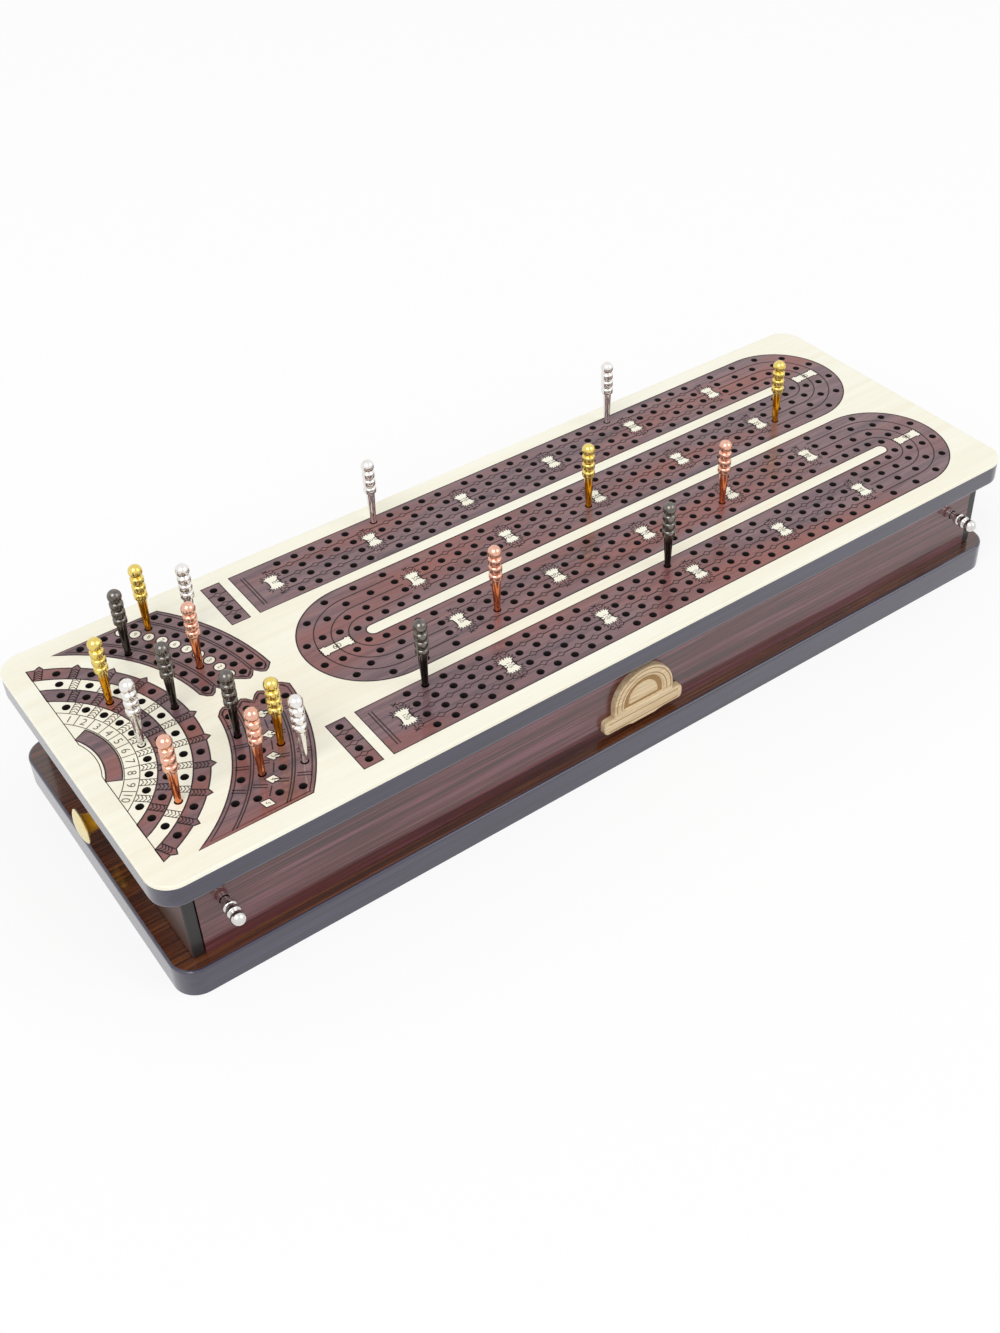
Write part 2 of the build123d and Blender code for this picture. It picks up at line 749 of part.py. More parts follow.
def build_drawer_bottom(side):
    """Bottom panel in the grooves of the sides and the front."""
    inner_x = side * drawer_end_x
    outer_x = side * (drawer_rail_x + dado_depth - dado_gap)
    with BuildPart() as panel:
        with BuildSketch(Plane.XY.offset(drawer_bottom_z + drawer_bottom_height)):
            with Locations(((inner_x + outer_x) / 2, 0)):
                Rectangle(abs(outer_x - inner_x), 2 * panel_reach)
        extrude(amount=drawer_bottom_thickness)
    return panel.part


def outward_plane(side, x):
    """Plane across the drawer's screw axis, facing out of the case."""
    return Plane(origin=(side * x, 0, drawer_middle_z), x_dir=(0, 1, 0), z_dir=(side, 0, 0))


def build_knob(side):
    """Spool-shaped knob with a domed disc, bored for its screw."""
    disc_start = knob_length - knob_dome - knob_disc_thickness
    sections = [
        (0, knob_flange_radius),
        (knob_flange_thickness, knob_flange_radius),
        (2 * knob_flange_thickness, knob_neck_radius),
        (disc_start - knob_flange_thickness, knob_neck_radius),
        (disc_start, knob_disc_radius),
        (disc_start + knob_disc_thickness, knob_disc_radius),
        (knob_length - knob_dome / 4, knob_disc_radius * 0.6),
        (knob_length, knob_disc_radius * 0.2),
    ]
    plane = outward_plane(side, front_face_x)
    spool = build_turned(sections, knob_sides)
    with BuildPart() as knob:
        with Locations(plane):
            add(spool)
        with BuildSketch(plane):
            RegularPolygon(screw_radius + screw_gap, screw_sides)
        extrude(amount=screw_bite + screw_gap, mode=Mode.SUBTRACT)
    return knob.part


def build_knob_screw(side):
    """Slotted screw from inside the drawer into the knob."""
    plane = outward_plane(side, drawer_rail_x)
    with BuildPart() as screw:
        with BuildSketch(plane):
            RegularPolygon(screw_head_radius, knob_sides)
        extrude(amount=-screw_head_thickness)
        with BuildSketch(plane):
            RegularPolygon(screw_radius, screw_sides)
        extrude(amount=rail_thickness + lip_thickness + screw_bite)
        with BuildSketch(plane.offset(-screw_head_thickness)):
            Rectangle(2 * screw_head_radius, screw_slot_width)
        extrude(amount=screw_slot_depth, mode=Mode.SUBTRACT)
    return screw.part


for end, side in (("left", -1), ("right", 1)):
    pieces = {
        "front": build_drawer_front(side),
        "side_front": build_drawer_side(side, -1, True),
        "side_back": build_drawer_side(side, 1, False),
        "back": build_drawer_back(side),
        "bottom": build_drawer_bottom(side),
        "knob": build_knob(side),
        "knob_screw": build_knob_screw(side),
    }
    for piece_name, piece in pieces.items():
        node = f"drawer_{end}_{piece_name}"
        piece.label = node
        export_step(piece, f"parts/{node}.step")


# ---------------------------------------------------------------- pegs
def place_piece(piece, plane):
    """Copy of a piece, moved from the origin to a plane."""
    with BuildPart() as placed:
        with Locations(plane):
            add(piece)
    return placed.part


board_peg = build_turned(peg_sections, peg_sides)
for finish, places in peg_places.items():
    for number, (x, y) in enumerate(places, start=1):
        node = f"peg_{finish}_{number}"
        peg = place_piece(board_peg, Plane(origin=(x, y, board_top - mouth_height)))
        peg.label = node
        export_step(peg, f"parts/{node}.step")

wall_peg = build_turned(lock_sections, peg_sides)
for end, side in (("left", -1), ("right", 1)):
    node = f"lock_peg_{end}"
    out_of_wall = Plane(origin=(side * lock_x, -wall_face, lock_z), x_dir=(1, 0, 0), z_dir=(0, -1, 0))
    lock_peg = place_piece(wall_peg, out_of_wall)
    lock_peg.label = node
    export_step(lock_peg, f"parts/{node}.step")
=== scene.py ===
"""Dresses the cribbage box: its scoring board, case, drawers and pegs, and the studio round it."""

import json
import logging
from dataclasses import dataclass, field, replace
from enum import Enum
from math import asin, atan2, ceil, cos, degrees, hypot, pi, radians, sin, sqrt
from typing import Any, Iterable, Sequence

import bpy
from mathutils import Euler, Matrix, Vector
from mathutils.geometry import delaunay_2d_cdt

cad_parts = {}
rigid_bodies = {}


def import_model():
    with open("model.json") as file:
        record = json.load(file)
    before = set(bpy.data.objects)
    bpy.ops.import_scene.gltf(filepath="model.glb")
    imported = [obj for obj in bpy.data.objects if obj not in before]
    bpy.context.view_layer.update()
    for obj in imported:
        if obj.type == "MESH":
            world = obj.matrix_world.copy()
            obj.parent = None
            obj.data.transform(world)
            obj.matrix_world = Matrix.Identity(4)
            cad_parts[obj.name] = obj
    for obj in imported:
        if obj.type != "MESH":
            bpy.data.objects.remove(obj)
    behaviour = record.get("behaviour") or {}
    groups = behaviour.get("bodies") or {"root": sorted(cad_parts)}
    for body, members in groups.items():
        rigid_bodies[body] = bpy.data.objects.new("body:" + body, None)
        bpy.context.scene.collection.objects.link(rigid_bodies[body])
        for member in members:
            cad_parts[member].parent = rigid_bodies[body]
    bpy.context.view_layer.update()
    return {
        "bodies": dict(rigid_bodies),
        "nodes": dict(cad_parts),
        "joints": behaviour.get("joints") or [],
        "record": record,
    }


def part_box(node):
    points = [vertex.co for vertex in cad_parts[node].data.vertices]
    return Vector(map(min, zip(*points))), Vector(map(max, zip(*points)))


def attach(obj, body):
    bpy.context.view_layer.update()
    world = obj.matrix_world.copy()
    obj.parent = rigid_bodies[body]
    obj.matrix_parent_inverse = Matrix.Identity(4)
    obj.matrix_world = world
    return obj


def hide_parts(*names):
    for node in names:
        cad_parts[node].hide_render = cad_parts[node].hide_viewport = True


log = logging.getLogger("cribbage_box")

MM = 0.001
Spot = tuple[float, float]
Loop = list[Spot]


# ---------------------------------------------------------------- colours and nodes
def linear(code: str) -> tuple[float, float, float, float]:
    """Turns an sRGB hex colour into linear light.

    Args:
        code: Colour such as "#f7f4df".

    Returns:
        Red, green, blue and alpha.
    """
    parts = [int(code[i : i + 2], 16) / 255 for i in (1, 3, 5)]
    red, green, blue = (p / 12.92 if p <= 0.04045 else ((p + 0.055) / 1.055) ** 2.4 for p in parts)
    return (red, green, blue, 1.0)


def node(tree: bpy.types.NodeTree, kind: str, feeds: dict[str | int, Any] | None = None, **settings: Any) -> Any:
    """Adds a node, sets its properties and fills or links its inputs.

    Args:
        tree: Tree that gets the node.
        kind: Blender's name for the node's type.
        feeds: Value or socket for each input, by name or number.
        settings: Properties; stops gives a colour ramp's places and colours.

    Returns:
        The new node.
    """
    made = tree.nodes.new(kind)
    stops = settings.pop("stops", ())
    for key, value in settings.items():
        setattr(made, key, value)
    for place, code in stops[:-2]:
        made.color_ramp.elements.new(place)
    for element, (place, code) in zip(made.color_ramp.elements if stops else (), stops):
        element.position, element.color = place, linear(code)
    for key, value in (feeds or {}).items():
        if isinstance(value, bpy.types.NodeSocket):
            tree.links.new(value, made.inputs[key])
        else:
            made.inputs[key].default_value = value
    return made


class Along(Enum):
    """Direction that a wood's fibres or a turned piece's axis take, as the turn that brings it onto X."""

    LENGTH = (0.0, 0.0, 0.0)
    DEPTH = (0.0, 0.0, pi / 2)
    HEIGHT = (0.0, pi / 2, 0.0)


def open_material(label: str) -> tuple[bpy.types.Material, bpy.types.NodeTree, Any]:
    """Starts a material and gives it with its tree and its shader."""
    surface = bpy.data.materials.new(label)
    surface.use_nodes = True
    return surface, surface.node_tree, surface.node_tree.nodes["Principled BSDF"]


def placed(tree: bpy.types.NodeTree, along: Along) -> bpy.types.NodeSocket:
    """Object coordinates in millimetres, turned so that X runs along the fibres or the turned axis."""
    place = node(tree, "ShaderNodeTexCoord").outputs["Object"]
    turned = node(tree, "ShaderNodeMapping", {"Vector": place, "Rotation": along.value, "Scale": (1 / MM,) * 3})
    return turned.outputs["Vector"]


def remap(tree: bpy.types.NodeTree, value: Any, low: float, high: float, span: Spot = (0.0, 1.0)) -> Any:
    """Turns a value from one range, span, into another, low to high."""
    feeds = {"Value": value, "From Min": span[0], "From Max": span[1], "To Min": low, "To Max": high}
    return node(tree, "ShaderNodeMapRange", feeds).outputs["Result"]


def ramp(tree: bpy.types.NodeTree, value: Any, stops: Sequence[tuple[float, str]]) -> Any:
    """Colour that a value picks from stops."""
    return node(tree, "ShaderNodeValToRGB", {"Fac": value}, stops=stops).outputs["Color"]


def blend(tree: bpy.types.NodeTree, share: Any, first: Any, second: Any, how: str = "MIX") -> Any:
    """Mixes two colours, each a socket or a hex colour, by a share."""
    tones = [linear(tone) if isinstance(tone, str) else tone for tone in (first, second)]
    return node(
        tree, "ShaderNodeMix", {0: share, 6: tones[0], 7: tones[1]}, data_type="RGBA", blend_type=how
    ).outputs[2]


# ---------------------------------------------------------------- finishes
# Tones of the fibres and of the pores between them
FIBRE_TONES = ((0.3, "#8c8c8c"), (0.62, "#ffffff"))
PORE_TONES = ((0.62, "#ffffff"), (0.7, "#3c2c2a"))
# Heights above the table in mm between which a scoring peg's shank gives way to its beads, and its painted reflection
# of the dark board fades out
PAINTED_SHANK_REFLECTION_SPAN = (63.0, 66.0)


@dataclass(frozen=True)
class Wood:
    """A sawn, sanded and finished wood, with figure, fibres, pores and a clear coat."""

    label: str
    stops: tuple[tuple[float, str], ...]
    blush: str
    blush_share: float = 0.3
    streak: float = 2.4
    stretch: float = 22.0
    fibre: float = 0.35
    fibre_depth: float = 0.35
    pore_depth: float = 0.5
    roughness: float = 0.35
    coat: float = 0.5
    coat_roughness: float = 0.12
    relief: float = 0.02
    along: Along = Along.LENGTH
    dark_ends_from: float = 0.0
    end_colour: str = "#15100f"

    def material(self) -> bpy.types.Material:
        """Builds the material.

        Returns:
            A material that reads Object coordinates in millimetres.
        """
        surface, tree, shader = open_material(self.label)
        spot = placed(tree, self.along)

        def noise(width: float, length: float, **feeds: float) -> Any:
            """Noise in mm: its width across the grain and length along it."""
            shape = node(tree, "ShaderNodeMapping", {"Vector": spot, "Scale": (1 / length, 1 / width, 1 / width)})
            return node(
                tree, "ShaderNodeTexNoise", {"Vector": shape.outputs["Vector"], "Scale": 1.0, **feeds}
            ).outputs["Fac"]

        broad = noise(self.streak, self.streak * self.stretch, Detail=4.0, Roughness=0.6, Distortion=0.7)
        patch = noise(self.streak * 5, self.streak * 30, Detail=2.0)
        share = remap(tree, patch, 0.0, self.blush_share, (0.45, 0.7))
        warmed = blend(tree, share, ramp(tree, broad, self.stops), self.blush)
        fibres = noise(self.fibre, self.fibre * 60, Detail=3.0)
        striped = blend(tree, self.fibre_depth, warmed, ramp(tree, fibres, FIBRE_TONES), "MULTIPLY")
        pit = ramp(tree, noise(self.fibre * 0.8, self.fibre * 22, Detail=1.0), PORE_TONES)
        tone = blend(tree, self.pore_depth, striped, pit, "MULTIPLY")
        if self.dark_ends_from:
            # Beyond this many millimetres along the fibres the ends are coloured near-black
            ends = node(tree, "ShaderNodeSeparateXYZ", {"Vector": spot})
            span = node(tree, "ShaderNodeMath", {0: ends.outputs["X"]}, operation="ABSOLUTE")
            beyond = node(tree, "ShaderNodeMath", {0: span.outputs[0], 1: self.dark_ends_from}, operation="GREATER_THAN")
            tone = blend(tree, beyond.outputs[0], tone, self.end_colour)
        gloss = remap(tree, fibres, self.roughness + 0.06, self.roughness - 0.04)
        bump = node(tree, "ShaderNodeBump", {"Height": pit, "Strength": 0.5, "Distance": self.relief * MM})
        tree.links.new(tone, shader.inputs["Base Color"])
        tree.links.new(gloss, shader.inputs["Roughness"])
        tree.links.new(bump.outputs["Normal"], shader.inputs["Normal"])
        shader.inputs["Coat Weight"].default_value = self.coat
        shader.inputs["Coat Roughness"].default_value = self.coat_roughness
        return surface


@dataclass(frozen=True)
class Plating:
    """A turned and plated metal, bright, with faint lathe marks round it."""

    label: str
    colour: str
    shade: str
    roughness: float = 0.14
    mark: float = 0.22
    along: Along = Along.HEIGHT
    # Deeper tone painted on the shank: a painted reflection of the dark board round the peg's foot
    shank: str = ""
    metal: float = 1.0

    def material(self) -> bpy.types.Material:
        """Builds the material.

        Returns:
            A metal whose tint and gloss vary a little along the axis it was turned on; a given shank tone is a painted
            reflection of the dark board.
        """
        surface, tree, shader = open_material(self.label)
        turned = placed(tree, self.along)
        rings = node(tree, "ShaderNodeMapping", {"Vector": turned, "Scale": (1 / self.mark, 0.05, 0.05)})
        marks = node(tree, "ShaderNodeTexNoise", {"Vector": rings.outputs["Vector"], "Scale": 1.0, "Detail": 2.0})
        smear = node(tree, "ShaderNodeTexNoise", {"Vector": turned, "Scale": 0.6, "Detail": 3.0}).outputs["Fac"]
        tint = blend(tree, smear, self.shade, self.colour)
        if self.shank:
            # Painted reflection: the shank is blended to a deeper, more saturated tone than the beads, standing in for
            # the dark board it reflects
            up = node(tree, "ShaderNodeSeparateXYZ", {"Vector": placed(tree, Along.LENGTH)})
            tint = blend(tree, remap(tree, up.outputs["Z"], 0.0, 1.0, PAINTED_SHANK_REFLECTION_SPAN), self.shank, tint)
        gloss = remap(tree, smear, self.roughness + 0.08, self.roughness - 0.05)
        bump = node(tree, "ShaderNodeBump", {"Height": marks.outputs["Fac"], "Strength": 0.25, "Distance": 0.01 * MM})
        tree.links.new(tint, shader.inputs["Base Color"])
        tree.links.new(gloss, shader.inputs["Roughness"])
        tree.links.new(bump.outputs["Normal"], shader.inputs["Normal"])
        shader.inputs["Metallic"].default_value = self.metal
        return surface


@dataclass(frozen=True)
class ScorchAndShade:
    """Wood burnt brown by a hot engraving tool, matt and slightly uneven; the same make also serves as near-black
    painted shade inside the drilled holes.
    """

    label: str
    colour: str
    edge: str

    def material(self) -> bpy.types.Material:
        """Builds the material."""
        surface, tree, shader = open_material(self.label)
        place = node(tree, "ShaderNodeTexCoord").outputs["Object"]
        # Blotches about 0.7 mm across
        blotch = node(tree, "ShaderNodeTexNoise", {"Vector": place, "Scale": 1400.0, "Detail": 2.0})
        char = blend(tree, blotch.outputs["Fac"], self.colour, self.edge)
        tree.links.new(char, shader.inputs["Base Color"])
        shader.inputs["Roughness"].default_value = 0.75
        return surface


@dataclass
class Finishes:
    """Every finish of the box, made once and shared by its pieces."""

    made: dict[str, bpy.types.Material] = field(default_factory=dict)

    def __getitem__(self, finish: Wood | Plating | ScorchAndShade) -> bpy.types.Material:
        """Material of a finish, built the first time it is asked for."""
        if finish.label not in self.made:
            self.made[finish.label] = finish.material()
        return self.made[finish.label]


# Sheet and inlays: hard maple, sanded and clear-coated: cream, with hardly any figure
MAPLE = Wood(
    "maple_clear_coated",
    ((0.3, "#f5efda"), (0.5, "#f8f5e3"), (0.7, "#fbf9ea")),
    "#f4eacf",
    blush_share=0.3,
    streak=5.0,
    fibre=0.5,
    fibre_depth=0.03,
    pore_depth=0.0,
    roughness=0.38,
    coat=0.25,
    relief=0.004,
)
# Rosewood face of the board: mauve-brown, with reddish patches and darker streaks
ROSEWOOD_FACE = Wood(
    "rosewood_face_sanded",
    ((0.3, "#4c363e"), (0.44, "#6d4f56"), (0.58, "#7f5f63"), (0.75, "#8c6a69")),
    "#8f4a3e",
    blush_share=0.85,
    streak=3.2,
    stretch=14.0,
    fibre=0.3,
    fibre_depth=0.3,
    pore_depth=0.45,
    roughness=0.42,
    coat=0.6,
    coat_roughness=0.07,
)
# Rosewood of the case walls: glossy, with long pink, maroon and near-black streaks
ROSEWOOD_WALL = Wood(
    "rosewood_wall_lacquered",
    ((0.3, "#1e0707"), (0.42, "#431312"), (0.52, "#642a2c"), (0.62, "#7c4855"), (0.75, "#581b16")),
    "#50120d",
    blush_share=0.75,
    streak=1.5,
    stretch=70.0,
    fibre=0.25,
    fibre_depth=0.35,
    pore_depth=0.4,
    roughness=0.35,
    coat=0.7,
    coat_roughness=0.04,
)
# Edges of board and base: rosewood under thick polished lacquer, coloured slate with a violet tint as a painted
# reflection of something bluish, not the wood's own colour
EDGE_PAINTED_SLATE_REFLECTION = Wood(
    "rosewood_edge_painted_slate_reflection",
    ((0.3, "#201e2e"), (0.55, "#302c44"), (0.75, "#3e3952")),
    "#392b40",
    blush_share=0.3,
    streak=2.5,
    stretch=40.0,
    fibre=0.25,
    fibre_depth=0.15,
    pore_depth=0.2,
    roughness=0.35,
    coat=0.8,
    coat_roughness=0.1,
    relief=0.004,
)
# Top of the base: red-brown under lacquer, with fine dark grain
ROSEWOOD_BASE = Wood(
    "rosewood_base_lacquered",
    ((0.3, "#24110c"), (0.46, "#4b2718"), (0.6, "#6d3d20"), (0.75, "#87542f")),
    "#4d1f14",
    streak=1.4,
    stretch=60.0,
    fibre=0.3,
    fibre_depth=0.45,
    pore_depth=0.6,
    roughness=0.25,
    coat=0.8,
    coat_roughness=0.1,
)
# Drawer fronts: the same wood with its grain across the case, their ends coloured near-black
ROSEWOOD_FRONT = Wood(
    "rosewood_drawer_front_lacquered",
    ((0.3, "#24130f"), (0.48, "#47291f"), (0.62, "#5d3a2d"), (0.78, "#6e4a3a")),
    "#522a1f",
    streak=1.8,
    stretch=40.0,
    fibre_depth=0.45,
    pore_depth=0.6,
    roughness=0.45,
    coat=0.2,
    along=Along.DEPTH,
    # Ends beyond 57.8 mm across the case are coloured near-black
    dark_ends_from=57.8,
)
# Inside the drawers: plain light hardwood, planed and waxed
DRAWER_LENGTHWISE = Wood(
    "light_hardwood_planed_lengthwise",
    ((0.3, "#8d6a48"), (0.5, "#a98159"), (0.7, "#bb9469")),
    "#a87a4e",
    streak=4.0,
    roughness=0.5,
    coat=0.1,
)
DRAWER_CROSSWISE = replace(DRAWER_LENGTHWISE, label="light_hardwood_planed_crosswise", along=Along.DEPTH)
# Badge: carved pale fruitwood, unpolished, so the cutter's marks show as faint streaks
CARVED_WOOD = Wood(
    "pale_fruitwood_carved",
    ((0.3, "#cfae84"), (0.5, "#e2c9a0"), (0.7, "#efdcb8")),
    "#d9b888",
    streak=1.6,
    stretch=12.0,
    fibre=0.3,
    fibre_depth=0.35,
    pore_depth=0.3,
    roughness=0.5,
    coat=0.15,
    relief=0.04,
)
# Burnt lines: near black on rosewood, brown on maple
SCORCHED_DARK = ScorchAndShade("rosewood_burnt_line", "#1d1214", "#3a2628")
SCORCHED_BROWN = ScorchAndShade("maple_burnt_line", "#33241c", "#5a4434")
# Numerals burnt with a lighter touch
SCORCHED_LIGHT = ScorchAndShade("maple_burnt_numeral", "#564a3e", "#7d705f")
# Sides and bottoms of the drilled holes, in rosewood and maple alike: near-black painted shade
HOLE_PAINTED_SHADE = ScorchAndShade("hole_lining_painted_shade", "#120b0c", "#241618")
# Cut lines and sunk ground of the badge, browned by the cutter
ENGRAVED = ScorchAndShade("fruitwood_engraved", "#8a683c", "#ad8a5a")

# Knobs: brass under an amber lacquer, with a paler satin disc
BRASS = Plating("brass_amber_lacquer", "#ffc83c", "#f2a820", roughness=0.2, along=Along.LENGTH, metal=0.45)
PALE_BRASS = Plating("brass_disc_satin", "#f6ecc6", "#ead594", roughness=0.3, along=Along.LENGTH)
# Knob screws: bright zinc over steel
STEEL = Plating("steel_zinc_plated", "#b9bbbd", "#8f9294", roughness=0.3, along=Along.LENGTH)
# Lock and scoring pegs: turned metal, plated and polished; the gold, copper and black scoring pegs get a deeper painted
# reflection of the dark board on the shank
LOCK_SILVER = Plating("nickel_polished_lock", "#e9e7e4", "#c9c6c2", roughness=0.1, along=Along.DEPTH)
GOLD = Plating("gold_plate_polished", "#f4e294", "#dcb848", shank="#d9951c")
SILVER = Plating("nickel_plate_polished", "#f7f5f3", "#dedad7", roughness=0.1)
COPPER = Plating("copper_plate_polished", "#f3c8b6", "#dc9a7e", shank="#d98256")
BLACK = Plating("black_nickel_polished", "#8d8882", "#4c4743", roughness=0.1, shank="#3a3532")


# ---------------------------------------------------------------- plane figures
def arc(centre: Spot, radius: float, start: float, end: float, step: float = 4.0) -> Loop:
    """Points along an arc.

    Args:
        centre: Middle of the arc in mm.
        radius: Radius in mm.
        start: First angle in degrees.
        end: Last angle in degrees.
        step: Largest angle between two points.

    Returns:
        Points from start to end, both kept.
    """
    count = max(1, ceil(abs(end - start) / step))
    turns = [radians(start + (end - start) * i / count) for i in range(count + 1)]
    return [(centre[0] + radius * cos(a), centre[1] + radius * sin(a)) for a in turns]


def ring(centre: Spot, radius: float, count: int) -> Loop:
    """Closed round outline with that many points."""
    return arc(centre, radius, 0.0, 360.0 * (count - 1) / count, 360.0 / count + 0.001)


def turn_about(points: Iterable[Spot], place: Spot, angle: float) -> Loop:
    """Points drawn about the origin, turned by an angle in degrees and moved to a place."""
    c, s = cos(radians(angle)), sin(radians(angle))
    return [(place[0] + x * c - y * s, place[1] + x * s + y * c) for x, y in points]


def rounded_oblong(half_x: float, half_y: float, radius: float) -> Loop:
    """Outline of an oblong with rounded corners, anticlockwise."""
    x, y = half_x - radius, half_y - radius
    corners = ((x, y, 0.0), (-x, y, 90.0), (-x, -y, 180.0), (x, -y, 270.0))
    return [spot for cx, cy, start in corners for spot in arc((cx, cy), radius, start, start + 90, 7.5)]


def wound(loop: Loop) -> Loop:
    """The same outline, running anticlockwise."""
    area = sum(a[0] * b[1] - b[0] * a[1] for a, b in zip(loop, loop[1:] + loop[:1]))
    return loop if area > 0 else loop[::-1]


@dataclass
class Draft:
    """Points and faces of one piece in millimetres, gathered before it becomes an object."""

    frame: Matrix = field(default_factory=Matrix)
    points: list[Vector] = field(default_factory=list)
    faces: list[tuple[int, ...]] = field(default_factory=list)
    coats: list[int] = field(default_factory=list)

    def add(self, points: Iterable[Sequence[float]], faces: Iterable[Sequence[int]], coat: int = 0) -> None:
        """Adds points and faces.

        Args:
            points: Places in the draft's own frame.
            faces: Corners of each face, anticlockwise from outside.
            coat: Which of the piece's materials they take.
        """
        first = len(self.points)
        self.points += [self.frame @ Vector(point) for point in points]
        for face in faces:
            self.faces.append(tuple(first + i for i in face))
            self.coats.append(coat)

    def fill(self, outline: Loop, holes: Sequence[Loop], level: float, coat: int = 0, up: bool = True) -> None:
        """Fills a level face with holes in it.

        Args:
            outline: Outer edge.
            holes: Edges of its openings.
            level: Height.
            coat: Which material it takes.
            up: Whether it faces up.
        """
        spots = [Vector(spot) for loop in (outline, *holes) for spot in loop]
        rims, first = [], 0
        for loop in (outline, *holes):
            rims.append(list(range(first, first + len(loop))))
            first += len(loop)
        places, _, faces, _, _, origins = delaunay_2d_cdt(spots, [], rims, 1, 1e-5)
        kept = [face for face, origin in zip(faces, origins) if list(origin) == [0]]
        level_points = [(place.x, place.y, level) for place in places]
        turned = []
        for a, b, c in kept:
            side = (places[b] - places[a]).cross(places[c] - places[a])
            turned.append((a, b, c) if (side > 0) == up else (a, c, b))
        self.add(level_points, turned, coat)

    def band(
        self, low: Loop, low_level: float, high: Loop, high_level: float, coat: int = 0, inward: bool = False
    ) -> None:
        """Joins two like outlines at different heights by a strip of faces.

        Args:
            low: Lower outline.
            low_level: Its height.
            high: Upper outline, with as many points.
            high_level: Its height.
            coat: Which material it takes.
            inward: Whether the strip lines an opening.
        """
        count = len(low)
        points = [(*spot, low_level) for spot in low] + [(*spot, high_level) for spot in high]
        quads = [(i, (i + 1) % count, count + (i + 1) % count, count + i) for i in range(count)]
        self.add(points, [quad[::-1] for quad in quads] if inward else quads, coat)

    def rise(self, outlines: Sequence[Loop], levels: Sequence[float]) -> None:
        """Joins outlines that are stacked from the lowest up."""
        for low, high, low_level, high_level in zip(outlines, outlines[1:], levels, levels[1:]):
            self.band(low, low_level, high, high_level)

    def make(self, name: str, coats: Sequence[bpy.types.Material], smooth: float = 30.0) -> bpy.types.Object:
        """Turns the draft into an object in metres.

        Args:
            name: The object's name.
            coats: Its materials.
            smooth: Edges flatter than this many degrees are shaded smooth.

        Returns:
            The new object.
        """
        mesh = bpy.data.meshes.new(name)
        mesh.from_pydata([point * MM for point in self.points], [], self.faces)
        piece = settle(name, mesh, coats, smooth)
        mesh.polygons.foreach_set("material_index", self.coats)
        return piece


def settle(
    name: str, mesh: bpy.types.Mesh, coats: Sequence[bpy.types.Material], smooth: float = 30.0
) -> bpy.types.Object:
    """Puts a finished mesh into the scene at the origin, with its materials and shading."""
    mesh.materials.clear()
    for coat in coats:
        mesh.materials.append(coat)
    mesh.validate()
    mesh.shade_smooth()
    mesh.set_sharp_from_angle(angle=radians(smooth))
    piece = bpy.data.objects.new(name, mesh)
    bpy.context.scene.collection.objects.link(piece)
    return piece


def report(piece: bpy.types.Object, body: str, slot: str, *nodes: str) -> None:
    """Makes a finished piece ride on its body and stand for its solids, and logs it."""
    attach(piece, body)
    if nodes:
        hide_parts(*nodes)
    log.info("%s: %d faces on %s", piece.name, len(piece.data.polygons), body)


# ---------------------------------------------------------------- geometry trees
class Inlet(Enum):
    """Kinds of named input that a geometry tree takes."""

    LENGTH = "NodeSocketFloat"
    COUNT = "NodeSocketInt"
    COAT = "NodeSocketMaterial"


@dataclass
class Tree:
    """A geometry tree with named inputs, run on a mesh and kept as a plain mesh."""

    label: str
    inlets: dict[str, Inlet]

    def __post_init__(self) -> None:
        """Opens the tree with its inputs and its outlet."""
        self.nodes = bpy.data.node_groups.new(self.label, "GeometryNodeTree")
        face = self.nodes.interface
        face.new_socket("Geometry", in_out="INPUT", socket_type="NodeSocketGeometry")
        for name, kind in self.inlets.items():
            face.new_socket(name, in_out="INPUT", socket_type=kind.value)
        face.new_socket("Geometry", in_out="OUTPUT", socket_type="NodeSocketGeometry")
        self.inputs = node(self.nodes, "NodeGroupInput").outputs

    def close(self, geometry: bpy.types.NodeSocket) -> None:
        """Ends the tree by making its instances real and giving them their material."""
        real = node(self.nodes, "GeometryNodeRealizeInstances", {"Geometry": geometry})
        coated = node(
            self.nodes,
            "GeometryNodeSetMaterial",
            {"Geometry": real.outputs["Geometry"], "Material": self.inputs["Material"]},
        )
        node(self.nodes, "NodeGroupOutput", {"Geometry": coated.outputs["Geometry"]})

    def grow(self, name: str, mesh: bpy.types.Mesh, settings: dict[str, Any]) -> bpy.types.Mesh:
        """Runs the tree.

        Args:
            name: Name of the result.
            mesh: What the tree starts from.
            settings: Value of each named input.

        Returns:
            A plain mesh.
        """
        holder = bpy.data.objects.new(name, mesh)
        bpy.context.scene.collection.objects.link(holder)
        run = holder.modifiers.new(self.label, "NODES")
        run.node_group = self.nodes
        for item in self.nodes.interface.items_tree:
            if item.in_out == "INPUT" and item.name in settings:
                run[item.identifier] = settings[item.name]
        seen = holder.evaluated_get(bpy.context.evaluated_depsgraph_get())
        grown = bpy.data.meshes.new_from_object(seen)
        bpy.data.objects.remove(holder)
        return grown


def line_tree() -> Tree:
    """Tree that lays a flat line of a given width along every edge it is given."""
    tree = Tree("engraved_line", {"Width": Inlet.LENGTH, "Height": Inlet.LENGTH, "Material": Inlet.COAT})
    nodes, inputs = tree.nodes, tree.inputs
    path = node(nodes, "GeometryNodeMeshToCurve", {"Mesh": inputs["Geometry"]})
    level = node(nodes, "GeometryNodeSetCurveNormal", {"Curve": path.outputs["Curve"]}, mode="Z_UP")
    section = node(
        nodes, "GeometryNodeCurvePrimitiveQuadrilateral", {"Width": inputs["Width"], "Height": inputs["Height"]}
    )
    line = node(
        nodes,
        "GeometryNodeCurveToMesh",
        {"Curve": level.outputs["Curve"], "Profile Curve": section.outputs["Curve"], "Fill Caps": True},
    )
    tree.close(line.outputs["Mesh"])
    return tree


